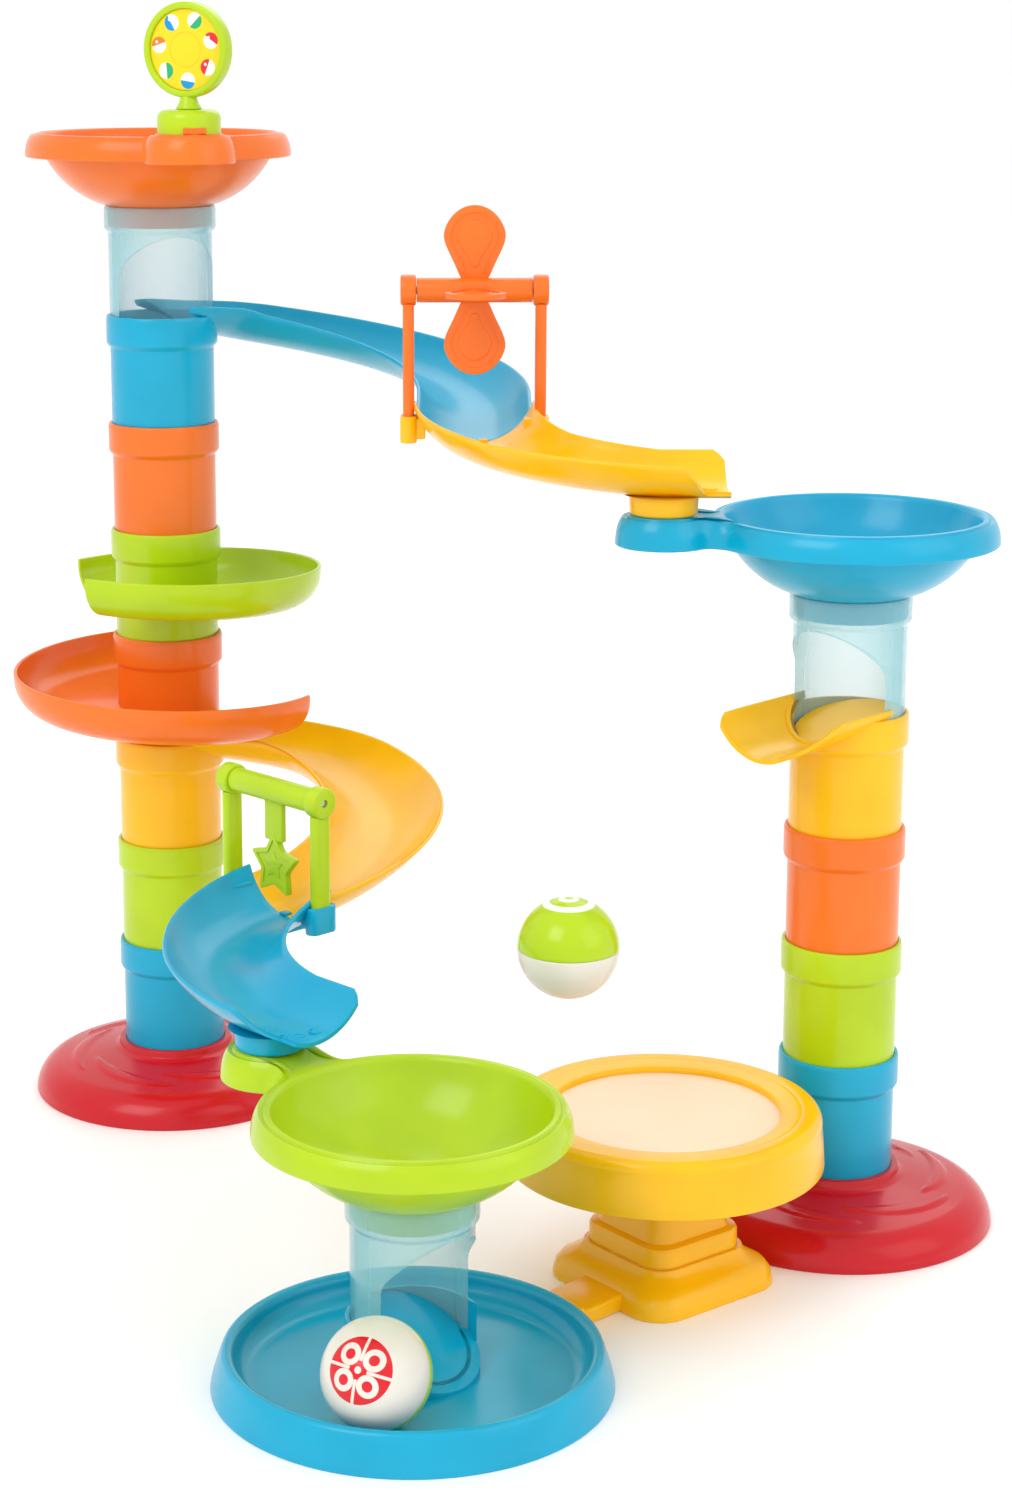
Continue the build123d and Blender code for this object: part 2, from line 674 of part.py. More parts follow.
def catch_tray():
    """Round tray with a hub that holds the window tube and lets the ball roll out."""
    seat = TRAY_COLLAR_Z - SOCKET_DEPTH
    crest_in = TRAY_CREST_R - 2
    body = revolved(
        [
            (TRAY_R, 0),
            (TRAY_CREST_R + 1.5, TRAY_CREST_Z - 0.7),
            (TRAY_CREST_R, TRAY_CREST_Z),
            (crest_in, TRAY_CREST_Z),
            (crest_in - 1.5, TRAY_CREST_Z - 1.5),
            (TRAY_FLOOR_R + 4, TRAY_FLOOR_Z + 3),
            (TRAY_FLOOR_R, TRAY_FLOOR_Z),
            (0, TRAY_FLOOR_Z),
            (0, TRAY_FLOOR_Z - WALL),
            (TRAY_FLOOR_R, TRAY_FLOOR_Z - WALL),
            (TRAY_FLOOR_R + 5, TRAY_FLOOR_Z + 3 - WALL),
            (TRAY_R - WALL - 2, 0),
        ]
    )
    hub = revolved(
        [
            (COLLAR_R, TRAY_FLOOR_Z - 1),
            (COLLAR_R, TRAY_COLLAR_Z),
            (SOCKET_R, TRAY_COLLAR_Z),
            (SOCKET_R, seat),
            (BORE_R - FIT - WALL, seat),
            (BORE_R - FIT - WALL, TRAY_FLOOR_Z - 1),
        ]
    )
    outer_r = BORE_R - FIT
    high, low = TRAY_COLLAR_Z + 0.5, TRAY_FLOOR_Z + 1.0
    bottom = TRAY_FLOOR_Z - 1
    mouth_r = COLLAR_R + 1

    def slope_z(x):
        return between(high, low, (x + outer_r) / (outer_r + mouth_r))

    def wedge(back, front, drop):
        outline = Polyline(
            (-back, bottom), (front, bottom), (front, max(bottom + 0.5, slope_z(front) - drop)),
            (-back, slope_z(-back) - drop), close=True
        )
        return extrude(Plane.XZ * make_face(outline), COLLAR_R, both=True)

    ramp = (wedge(outer_r, outer_r, 0) & cylinder(outer_r, bottom, high)) - (
        wedge(outer_r - WALL, outer_r - WALL, WALL) & cylinder(outer_r - WALL, bottom, high)
    )
    opening = extrude(
        Plane.XZ
        * make_face(
            Polyline((0, slope_z(0)), (mouth_r, slope_z(mouth_r)), (mouth_r, high + 5), (0, high + 5), close=True)
        ),
        WINDOW_HALF_W,
        both=True,
    )
    hub = hub - opening
    ramp_turned = Rot(0, 0, TRAY_EXIT)
    return body + ramp_turned * (hub + ramp)


# ------------------------------------------------------------------ drum
def drum_hoop():
    """Skirt and rim that clamp the membrane."""
    return revolved(
        [
            (DRUM_R, DRUM_SKIRT_Z),
            (DRUM_CREST_R, DRUM_CREST_Z - 1),
            (DRUM_CREST_R - 1.5, DRUM_CREST_Z),
            (DRUM_RIM_INNER_R + 5, DRUM_CREST_Z - 1),
            (DRUM_RIM_INNER_R, DRUM_CREST_Z - 3),
            (DRUM_RIM_INNER_R, MEMBRANE_Z),
            (DRUM_CREST_R - WALL - 1, MEMBRANE_Z),
            (DRUM_R - WALL, DRUM_SKIRT_Z),
        ]
    )


def drum_membrane():
    """Tight sheet that the ball bounces on."""
    return cylinder(MEMBRANE_R, MEMBRANE_Z - MEMBRANE_T, MEMBRANE_Z)


def drum_pan():
    """Pan under the membrane, in one piece with the square stem."""
    lip = DRUM_PAN_R - MEMBRANE_R
    top = MEMBRANE_Z
    wall_in = DRUM_PAN_R - WALL
    floor = DRUM_SKIRT_Z + 4
    pan = revolved(
        [
            (0, floor),
            (DRUM_PAN_R + lip, floor),
            (DRUM_PAN_R + lip, top),
            (MEMBRANE_R + FIT, top),
            (MEMBRANE_R + FIT, top - MEMBRANE_T),
            (wall_in - 4, top - MEMBRANE_T),
            (wall_in - 4, floor + WALL),
            (0, floor + WALL),
        ]
    )
    stem = rounded_bar(STEM_HALF, STEM_CORNER, FOOT_H, floor + 1)
    stem -= rounded_bar(STEM_HALF - WALL, STEM_CORNER - WALL, FOOT_H + WALL, floor - 1)
    band = rounded_bar(STEM_HALF + 2, STEM_CORNER + 1, FOOT_H, FOOT_H + 10)
    band -= rounded_bar(STEM_HALF - WALL, STEM_CORNER - WALL, FOOT_H + WALL, FOOT_H + 11)
    for x, y in screw_places():
        stem -= Pos(x, y, 0) * cylinder(SCREW_R, 0, FOOT_H + 9)
        band -= Pos(x, y, 0) * cylinder(SCREW_R, 0, FOOT_H + 9)
    return pan + Rot(0, 0, STEM_TURN) * (stem + band)


def screw_places():
    """Plan places of the screws between foot and stem."""
    half = SCREW_PITCH / 2
    return [(x, y) for x in (-half, half) for y in (-half, half)]


def drum_foot(place, tray):
    """Flared square foot with a tongue that reaches the tray."""
    lower = Plane.XY * RectangleRounded(2 * FOOT_HALF, 2 * FOOT_HALF, FOOT_CORNER)
    upper = Plane.XY.offset(FOOT_H) * RectangleRounded(2 * FOOT_TOP_HALF, 2 * FOOT_TOP_HALF, STEM_CORNER + 2)
    inner_low = Plane.XY * RectangleRounded(2 * (FOOT_HALF - WALL - 1), 2 * (FOOT_HALF - WALL - 1), FOOT_CORNER - WALL)
    inner_high = Plane.XY.offset(FOOT_H - WALL) * RectangleRounded(
        2 * (FOOT_TOP_HALF - WALL), 2 * (FOOT_TOP_HALF - WALL), STEM_CORNER
    )
    foot = loft([lower, upper])
    hollow = loft([inner_low, inner_high])
    posts = Part()
    for x, y in screw_places():
        posts += Pos(x, y, 0) * cylinder(SCREW_HEAD_R + 1.5, FOOT_H - 6, FOOT_H)
    foot = foot - hollow + posts
    for x, y in screw_places():
        foot -= Pos(x, y, 0) * cylinder(SCREW_R, 0, FOOT_H + 1)
        foot -= Pos(x, y, 0) * cylinder(SCREW_HEAD_R, -1, FOOT_H - 3)
    foot = at(place, 0, STEM_TURN) * foot
    reach_in, reach_out = FOOT_TOP_HALF, DRUM_REACH - TRAY_CREST_R
    tongue = Pos((reach_in + reach_out) / 2, 0, TONGUE_H / 2) * Box(reach_out - reach_in, TONGUE_W, TONGUE_H)
    tongue = at(place, 0, DRUM_AZIMUTH + 180) * tongue
    tongue -= at(tray) * revolved(tray_outline())
    foot_inner = at(place, 0, STEM_TURN) * hollow
    return foot + (tongue - foot_inner)


def drum_screws():
    """Screws that hold the stem on its foot."""
    screws = Part()
    for x, y in screw_places():
        screws += Pos(x, y, 0) * cylinder(SCREW_R, FOOT_H - 3, FOOT_H + 9)
        screws += Pos(x, y, 0) * cylinder(SCREW_HEAD_R, FOOT_H - 5, FOOT_H - 3)
    return screws


# ------------------------------------------------------------------ spinner
def spinner_base():
    """Block that plugs into the lug and carries the spinner's pin."""
    block = cylinder(SPINNER_BASE_R, 0, SPINNER_BASE_H)
    block = fillet(block.edges().group_by(Axis.Z)[-1], 5.0)
    block += cylinder(LUG_SOCKET_R - FIT, -PLUG_LENGTH, 0)
    block += cylinder(SPINNER_PIN_R, SPINNER_BASE_H - 1, SPINNER_BASE_H + SPINNER_NECK_H - 1.5)
    notch_z = SPINNER_NOTCH_H / 2
    return block - Pos(SPINNER_BASE_R, 0, notch_z) * Box(6, SPINNER_NOTCH_W, SPINNER_NOTCH_H)


def lug_tab():
    """Tab on the top bowl's lug that keeps the spinner's base from turning."""
    tab = Pos(SPINNER_BASE_R - 1.25, 0, SPINNER_NOTCH_H / 2) * Box(3, SPINNER_NOTCH_W - 2 * FIT, SPINNER_NOTCH_H)
    return tab & cylinder(SPINNER_BASE_R, 0, SPINNER_NOTCH_H)


SPINNER_HUB_Z = SPINNER_BASE_H + RUN_GAP
SPINNER_CENTRE_Z = SPINNER_HUB_Z + SPINNER_NECK_H + SPINNER_RING_R - 2.0


def spinner_ring():
    """Ring of the spinner with its neck. The ring stands upright, its faces across X."""
    centre = Pos(0, 0, SPINNER_CENTRE_Z) * Rot(0, 90, 0)
    inner = SPINNER_RING_R - SPINNER_RING_W
    ring = Cylinder(SPINNER_RING_R, SPINNER_RING_T) - Cylinder(inner, SPINNER_RING_T + 2)
    ring = centre * (ring + (Cylinder(inner + 0.5, 2.0)))
    neck = Pos(0, 0, SPINNER_HUB_Z + SPINNER_NECK_H / 2) * Cone(SPINNER_NECK_R, SPINNER_NECK_TOP_R, SPINNER_NECK_H)
    bore = cylinder(SPINNER_PIN_R + FIT, SPINNER_HUB_Z - 1, SPINNER_HUB_Z + SPINNER_NECK_H - 1)
    return ring + neck - bore


def spinner_face(side):
    """Printed disc let into one side of the ring."""
    radius = SPINNER_RING_R - SPINNER_RING_W - FIT
    offset = 1.0 + SPINNER_FACE_T / 2
    return Pos(side * offset, 0, SPINNER_CENTRE_Z) * Rot(0, 90, 0) * Cylinder(radius, SPINNER_FACE_T)


# ------------------------------------------------------------------ balls
def ball_half(inner_lip):
    """Half a hollow ball, dome up. One half has a lip that plugs into the other."""
    inner = BALL_R - BALL_WALL
    bow = sqrt(0.5)
    edges = [
        ThreePointArc((BALL_R, 0), (BALL_R * bow, BALL_R * bow), (0, BALL_R)),
        Line((0, BALL_R), (0, inner)),
        ThreePointArc((0, inner), (inner * bow, inner * bow), (inner, 0)),
        Line((inner, 0), (BALL_R, 0)),
    ]
    half = revolved_edges(edges)
    step_r = BALL_R - BALL_WALL / 2
    if inner_lip:
        lip = cylinder(step_r - FIT, -BALL_JOINT_LIP, 0.5) - cylinder(inner - FIT, -BALL_JOINT_LIP - 1, 1)
        return half + lip
    return half - cylinder(step_r, -1, BALL_JOINT_LIP + FIT)


# ------------------------------------------------------------------ putting it together
TRAY_BALL = (*polar(PLAN["tray"], TRAY_BALL_REACH, TRAY_BALL_AZIMUTH), TRAY_FLOOR_Z + BALL_R)
BOUNCE_BALL = (
    PLAN["drum"][0] + BOUNCE_OFFSET[0],
    PLAN["drum"][1] + BOUNCE_OFFSET[1],
    MEMBRANE_Z + BALL_R + BOUNCE_RISE,
)


def build():
    """All the pieces by node name, in place."""
    nodes = {}
    left, right, tray, drum = PLAN["left"], PLAN["right"], PLAN["tray"], PLAN["drum"]

    nodes["left_base"] = at(left) * tower_base()
    for level, name in ((0, "left_tube_blue"), (1, "left_tube_green"), (5, "left_tube_orange")):
        nodes[name] = at(left, level_z(level)) * plain_tube()
    nodes["yellow_curve_module"] = chute_module(
        left, LOWER_CHUTE_LEVEL, PLAN["lower"], LOWER_GATE_FLOOR, LOWER_BULGE_OUT, LOWER_BULGE_IN, False
    )
    nodes["orange_spiral_module"] = at(left, level_z(3)) * spiral_module(ORANGE_SPIRAL_START)
    nodes["green_spiral_module"] = at(left, level_z(4)) * spiral_module(GREEN_SPIRAL_START)
    nodes["blue_chute_module"] = chute_module(
        left, UPPER_CHUTE_LEVEL, PLAN["upper"], UPPER_GATE_FLOOR, 0.0, 0.0, True
    )
    nodes["left_window_tube"] = at(left, level_z(LEFT_LEVELS - 1)) * window_tube(LEFT_WINDOW)
    lug_top = at(polar(left, LUG_REACH, LEFT_LUG), LEFT_BOWL_Z + LUG_TOP_Z)
    nodes["left_bowl"] = at(left, LEFT_BOWL_Z) * bowl(LEFT_LUG) + lug_top * Rot(0, 0, LEFT_LUG) * lug_tab()

    nodes["spinner_base"] = lug_top * Rot(0, 0, LEFT_LUG) * spinner_base()
    spinner_place = lug_top * Rot(0, 0, SPINNER_TURN - 90)
    nodes["spinner_ring"] = spinner_place * spinner_ring()
    nodes["spinner_face_front"] = spinner_place * spinner_face(1)
    nodes["spinner_face_back"] = spinner_place * spinner_face(-1)

    extension = extension_chute()
    upper_mouth, lower_mouth = PLAN["upper"][-1], PLAN["lower"][-1]
    nodes["yellow_extension_chute"] = at(upper_mouth[:2], UPPER_GATE_FLOOR, upper_mouth[2]) * extension
    nodes["blue_extension_chute"] = at(lower_mouth[:2], LOWER_GATE_FLOOR, lower_mouth[2]) * extension

    upper_gate = gate_place(PLAN["upper"][-1], UPPER_GATE_FLOOR)
    lower_gate = gate_place(PLAN["lower"][-1], LOWER_GATE_FLOOR)
    for side, word in ((-1, "right"), (1, "left")):
        nodes[f"paddle_post_{word}"] = upper_gate * Pos(0, side * GATE_HALF_W, 0) * gate_post(UPPER_AXLE_H)
        nodes[f"star_post_{word}"] = lower_gate * Pos(0, side * GATE_HALF_W, 0) * gate_post(LOWER_AXLE_H)
    nodes["paddle_axle"] = upper_gate * gate_axle(UPPER_AXLE_H)
    nodes["paddle_wheel"] = upper_gate * paddle_wheel(UPPER_AXLE_H)
    nodes["star_axle"] = lower_gate * gate_axle(LOWER_AXLE_H)
    nodes["star_flap"] = lower_gate * star_flap(LOWER_AXLE_H)

    nodes["right_base"] = at(right) * tower_base()
    for level, name in ((0, "right_tube_blue"), (1, "right_tube_green"), (2, "right_tube_orange")):
        nodes[name] = at(right, level_z(level)) * plain_tube()
    nodes["right_spout_module"] = spout_module(right)
    nodes["right_window_tube"] = at(right, level_z(RIGHT_LEVELS - 1)) * window_tube(RIGHT_WINDOW)
    nodes["right_bowl"] = at(right, RIGHT_BOWL_Z) * bowl(RIGHT_LUG)

    nodes["catch_tray"] = at(tray) * catch_tray()
    nodes["tray_window_tube"] = at(tray, TRAY_COLLAR_Z) * window_tube(TRAY_WINDOW)
    nodes["green_bowl"] = at(tray, TRAY_BOWL_Z) * bowl(TRAY_LUG)

    nodes["drum_hoop"] = at(drum) * drum_hoop()
    nodes["drum_membrane"] = at(drum) * drum_membrane()
    nodes["drum_pan"] = at(drum) * drum_pan()
    nodes["drum_foot"] = drum_foot(drum, tray)
    nodes["drum_screws"] = at(drum, 0, STEM_TURN) * drum_screws()

    tray_ball = Pos(*TRAY_BALL) * Rot(0, 0, TRAY_BALL_TURN) * Rot(0, TRAY_BALL_SPLIT, 0)
    nodes["tray_ball_white"] = tray_ball * ball_half(True)
    nodes["tray_ball_green"] = tray_ball * Rot(180, 0, 0) * ball_half(False)
    bounce_ball = Pos(*BOUNCE_BALL)
    nodes["bounce_ball_green"] = bounce_ball * ball_half(True)
    nodes["bounce_ball_white"] = bounce_ball * Rot(180, 0, 0) * ball_half(False)
    return nodes


if __name__ == "__main__":
    os.makedirs("parts", exist_ok=True)
    for name, solid in build().items():
        export_step(solid, f"parts/{name}.step")
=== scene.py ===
"""Looks of the toy marble run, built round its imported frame.

Sizes are drawn in millimetres and finished in metres.
"""

import logging
from dataclasses import dataclass, field, replace
from enum import Enum
from math import acos, atan2, copysign, cos, degrees, hypot, pi, radians, sin, sqrt
from typing import Any, Callable, Iterable, Sequence

import bmesh
import bpy
from bmesh.types import BMesh
from bpy.types import Material
from mathutils import Matrix, Vector


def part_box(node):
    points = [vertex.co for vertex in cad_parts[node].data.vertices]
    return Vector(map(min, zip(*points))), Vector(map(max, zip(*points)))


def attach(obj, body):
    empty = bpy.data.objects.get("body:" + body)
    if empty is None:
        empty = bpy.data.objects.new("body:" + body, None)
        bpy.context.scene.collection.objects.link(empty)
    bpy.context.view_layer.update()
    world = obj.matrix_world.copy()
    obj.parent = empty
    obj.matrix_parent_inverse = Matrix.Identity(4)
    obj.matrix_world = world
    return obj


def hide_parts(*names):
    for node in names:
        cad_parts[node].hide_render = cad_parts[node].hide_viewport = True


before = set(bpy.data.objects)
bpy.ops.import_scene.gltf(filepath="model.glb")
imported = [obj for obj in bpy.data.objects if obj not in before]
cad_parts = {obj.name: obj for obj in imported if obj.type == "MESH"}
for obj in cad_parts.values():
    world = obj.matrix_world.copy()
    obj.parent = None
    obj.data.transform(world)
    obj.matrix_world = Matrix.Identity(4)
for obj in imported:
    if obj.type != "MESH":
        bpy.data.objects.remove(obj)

Pair = tuple[float, float]
Triple = tuple[float, float, float]

log = logging.getLogger("marble_run")
MM = 0.001
FULL_TURN = 2 * pi
ROUND_STEPS = 96
PLAIN_WHITE = (1.0, 1.0, 1.0)

# Sizes in millimetres that several pieces share.
PITCH = 61.8
SEAT = 30.0
TUBE_RADIUS = 29.5
BORE_RADIUS = 27.5
COLLAR_RADIUS = 31.7
SOCKET_RADIUS = TUBE_RADIUS + 0.05
SOCKET_DEPTH = 15.0
WALL = 2.2
TROUGH_DEPTH = 17.4
TROUGH_HALF_WIDTH = 29.0
EXIT_DROP = 12.0
PLUG_RADIUS = 11.9
PIN_BORE = 2.05
LUG_REACH = 100.0
LUG_TOP = 44.0
TRAY_COLLAR = 34.9
GATE_SETBACK = 9.0
SPOUT_HEADING = 220.0

# Azimuths in degrees.
LEFT_LUG = -75.0
UPPER_HEADING = 36.0


# ------------------------------------------------------------------ finishes
class Hue(Enum):
    """Plastic colours of the toy, as linear red, green and blue."""

    ORANGE = (0.90, 0.18, 0.014)
    BLUE = (0.0, 0.39, 0.62)
    LIME = (0.47, 0.66, 0.006)
    YELLOW = (1.0, 0.53, 0.003)
    RED = (0.60, 0.004, 0.012)
    WHITE = (0.80, 0.76, 0.68)
    FACE = (0.95, 0.68, 0.01)


class Signal:
    """A shader socket that takes part in Python arithmetic by adding Math nodes."""

    def __init__(self, graph: "Graph", socket: Any) -> None:
        """Keep a socket and the graph that it belongs to."""
        self.graph = graph
        self.socket = socket

    def _math(self, operation: str, *values: Any) -> "Signal":
        """Add one Math node and return its output."""
        return self.graph.node("ShaderNodeMath", {"operation": operation}, dict(enumerate(values)))

    def __add__(self, other: Any) -> "Signal":
        """Sum."""
        return self._math("ADD", self, other)

    __radd__ = __add__

    def __sub__(self, other: Any) -> "Signal":
        """Difference."""
        return self._math("SUBTRACT", self, other)

    def __rsub__(self, other: Any) -> "Signal":
        """Difference, reflected."""
        return self._math("SUBTRACT", other, self)

    def __mul__(self, other: Any) -> "Signal":
        """Product."""
        return self._math("MULTIPLY", self, other)

    __rmul__ = __mul__

    def below(self, limit: Any) -> "Signal":
        """1 where this is below a limit, else 0."""
        return self._math("LESS_THAN", self, limit)

    def above(self, limit: Any) -> "Signal":
        """1 where this is above a limit, else 0."""
        return self._math("GREATER_THAN", self, limit)

    def root(self) -> "Signal":
        """Square root."""
        return self._math("SQRT", self)

    def absolute(self) -> "Signal":
        """Size without sign."""
        return self._math("ABSOLUTE", self)

    def highest(self, other: Any) -> "Signal":
        """The larger of two values."""
        return self._math("MAXIMUM", self, other)


class Graph:
    """A material's node tree."""

    def __init__(self, name: str) -> None:
        """Start an empty material with an output.

        Args:
            name: the material's name.
        """
        self.material = bpy.data.materials.new(name)
        self.material.use_nodes = True
        self.tree = self.material.node_tree
        self.tree.nodes.clear()
        self.output = self.tree.nodes.new("ShaderNodeOutputMaterial")

    def node(
        self, kind: str, settings: dict[str, Any], inputs: dict[Any, Any], output: Any = 0
    ) -> Signal:
        """Add a node, set it and feed its sockets.

        Args:
            kind: the node's type.
            settings: attributes that are set first; "stops" fills a ramp.
            inputs: values or Signals by socket name or number.
            output: name or number of the output that is returned.

        Returns:
            The output as a Signal.
        """
        made = self.tree.nodes.new(kind)
        for key, value in settings.items():
            if key == "stops":
                ramp = made.color_ramp
                while len(ramp.elements) < len(value):
                    ramp.elements.new(1.0)
                for element, (place, colour) in zip(ramp.elements, value):
                    element.position, element.color = place, (*colour, 1.0)
            else:
                setattr(made, key, value)
        for key, value in inputs.items():
            if isinstance(value, Signal):
                self.tree.links.new(value.socket, made.inputs[key])
            else:
                made.inputs[key].default_value = value
        return Signal(self, made.outputs[output])

    def coordinates(
        self, centre: Vector | None = None, turn: Sequence[float] = (0, 0, 0)
    ) -> Signal:
        """Object coordinates, moved so that a centre is at zero and then turned.

        Args:
            centre: point in metres that becomes zero.
            turn: angles in radians that the axes of the pattern are turned by.

        Returns:
            The coordinates.
        """
        raw = self.node("ShaderNodeTexCoord", {}, {}, "Object")
        if centre is None:
            return raw
        return self.node(
            "ShaderNodeMapping", {"vector_type": "TEXTURE"},
            {"Vector": raw, "Location": tuple(centre), "Rotation": tuple(turn)},
        )

    def split(self, vector: Signal) -> tuple[Signal, Signal, Signal]:
        """The three parts of a vector."""
        first = self.node("ShaderNodeSeparateXYZ", {}, {0: vector})
        outputs = first.socket.node.outputs
        return first, Signal(self, outputs[1]), Signal(self, outputs[2])

    def noise(self, scale: float, detail: float = 2.0) -> Signal:
        """Noise over the object's coordinates."""
        return self.node(
            "ShaderNodeTexNoise", {},
            {"Vector": self.coordinates(), "Scale": scale, "Detail": detail}, "Fac"
        )

    def mixed(self, share: Any, low: Any, high: Any) -> Signal:
        """Mix two colours.

        Args:
            share: 0 gives low and 1 gives high.
            low: colour or Signal.
            high: colour or Signal.

        Returns:
            The mixed colour.
        """
        colours = [c if isinstance(c, Signal) else (*c, 1.0) for c in (low, high)]
        return self.node(
            "ShaderNodeMix", {"data_type": "RGBA"}, {0: share, 6: colours[0], 7: colours[1]}, 2
        )

    def surface(self, inputs: dict[str, Any]) -> Material:
        """Finish with a Principled shader.

        Args:
            inputs: its sockets by name.

        Returns:
            The finished material.
        """
        shader = self.node("ShaderNodeBsdfPrincipled", {}, inputs)
        self.tree.links.new(shader.socket, self.output.inputs["Surface"])
        return self.material


@dataclass(frozen=True)
class Moulded:
    """Glossy moulded plastic with faint flow marks and fine grain."""

    hue: Hue
    roughness: float = 0.24
    coat: float = 0.08
    shade: float = 0.90
    grain_scale: float = 1400.0
    flow_scale: float = 22.0

    def colour(self, graph: Graph) -> Signal:
        """Base colour with soft flow variation and a slightly deeper tone in patches.

        Args:
            graph: the material's graph.

        Returns:
            The base colour.
        """
        deep = tuple(channel * self.shade for channel in self.hue.value)
        flow = graph.node(
            "ShaderNodeValToRGB", {"stops": [(0.35, (0.0, 0.0, 0.0)), (0.68, (1.0, 1.0, 1.0))]},
            {"Fac": graph.noise(self.flow_scale)},
        )
        return graph.mixed(flow, deep, self.hue.value)

    def material(self, name: str | None = None) -> Material:
        """Build the material."""
        graph = Graph(name or f"{self.hue.name.lower()}_moulded")
        return self.finish(graph, self.colour(graph))

    def finish(self, graph: Graph, colour: Signal) -> Material:
        """Shade a colour as this plastic.

        Args:
            graph: the material's graph.
            colour: the base colour.

        Returns:
            The finished material.
        """
        grain = graph.noise(self.grain_scale, 3.0)
        rough = self.roughness + (graph.noise(90.0) - 0.5) * 0.10
        bump = graph.node(
            "ShaderNodeBump", {}, {"Strength": 0.05, "Distance": 0.0002, "Height": grain}
        )
        return graph.surface(
            {
                "Base Color": colour,
                "Roughness": rough,
                "Normal": bump,
                "IOR": 1.40,
                "Coat Weight": self.coat, "Coat Roughness": 0.08, "Subsurface Weight": 0.06,
                "Subsurface Scale": 0.004,
            }
        )


@dataclass(frozen=True)
class ClearTint:
    """Clear teal plastic of the window tubes."""

    tint: Triple = (0.42, 0.76, 0.80)
    deep: Triple = (0.10, 0.42, 0.50)
    roughness: float = 0.06
    thin: float = 0.26
    thick: float = 0.78

    def material(self) -> Material:
        """Build the material.

        Returns:
            The material.
        """
        graph = Graph("clear_teal")
        rough = self.roughness + graph.noise(60.0) * 0.05
        edge = graph.node("ShaderNodeLayerWeight", {}, {"Blend": 0.35}, "Facing")
        colour = graph.mixed(edge, self.tint, self.deep)
        cover = self.thin + edge * (self.thick - self.thin)
        return graph.surface(
            {
                "Base Color": colour, "Roughness": rough, "Alpha": cover, "IOR": 1.45,
                "Coat Weight": 0.6
            }
        )


@dataclass(frozen=True)
class DrumSkin:
    """Satin elastic sheet of the drum."""

    pale: Triple = (0.98, 0.72, 0.50)
    warm: Triple = (0.93, 0.66, 0.44)

    def material(self) -> Material:
        """Build the material.

        Returns:
            The material.
        """
        graph = Graph("drum_skin")
        colour = graph.mixed(graph.noise(18.0), self.pale, self.warm)
        weave = graph.noise(2600.0, 4.0)
        bump = graph.node(
            "ShaderNodeBump", {}, {"Strength": 0.12, "Distance": 0.0002, "Height": weave}
        )
        return graph.surface(
            {
                "Base Color": colour, "Roughness": 0.42 + graph.noise(50.0) * 0.1, "Normal": bump,
                "Coat Weight": 0.15
            }
        )


@dataclass(frozen=True)
class PlainSteel:
    """Turned steel pins and screws."""

    tone: Triple = (0.62, 0.63, 0.65)

    def material(self) -> Material:
        """Build the material."""
        graph = Graph("plain_steel")
        colour = graph.mixed(graph.noise(300.0), self.tone, tuple(c * 0.85 for c in self.tone))
        return graph.surface(
            {"Base Color": colour, "Metallic": 1.0, "Roughness": 0.28 + graph.noise(700.0) * 0.1}
        )


@dataclass(frozen=True)
class PrintedDisc:
    """Yellow disc with a ring of two-colour balls printed round its edge."""

    centre: Vector
    azimuth: float
    ball_ring: float = 0.0162
    ball_radius: float = 0.0043
    inner_ring: float = 0.0092
    inks: tuple[Triple, ...] = (
        (0.80, 0.02, 0.03), (0.02, 0.42, 0.16), (0.0, 0.30, 0.66), (0.90, 0.20, 0.02),
        (0.02, 0.42, 0.16), (0.0, 0.30, 0.66), (0.80, 0.02, 0.03),
    )

    def material(self) -> Material:
        """Build the material.

        Returns:
            The material.
        """
        graph = Graph("printed_disc")
        _, across, up = graph.split(graph.coordinates(self.centre, (0, 0, self.azimuth)))
        colour = Moulded(Hue.FACE).colour(graph)
        radius = (across * across + up * up).root()
        line = (radius - self.inner_ring).absolute().below(0.0004)
        colour = graph.mixed(line, colour, (0.80, 0.55, 0.01))
        for index, ink in enumerate(self.inks):
            turn = FULL_TURN * index / len(self.inks) + 0.3
            x = across - self.ball_ring * cos(turn)
            y = up - self.ball_ring * sin(turn)
            reach = (x * x + y * y).root()
            inside = reach.below(self.ball_radius)
            lower = (x * sin(turn * 2) + y * cos(turn * 2)).below(0.0003)
            ball = graph.mixed(lower, ink, (0.90, 0.90, 0.86))
            shine_x, shine_y = x + 0.0014, y - 0.0016
            shine = (shine_x * shine_x + shine_y * shine_y).root().below(0.0008)
            ball = graph.mixed(shine, ball, (0.98, 0.98, 0.96))
            colour = graph.mixed(inside, colour, ball)
        return Moulded(Hue.FACE, roughness=0.3).finish(graph, colour)


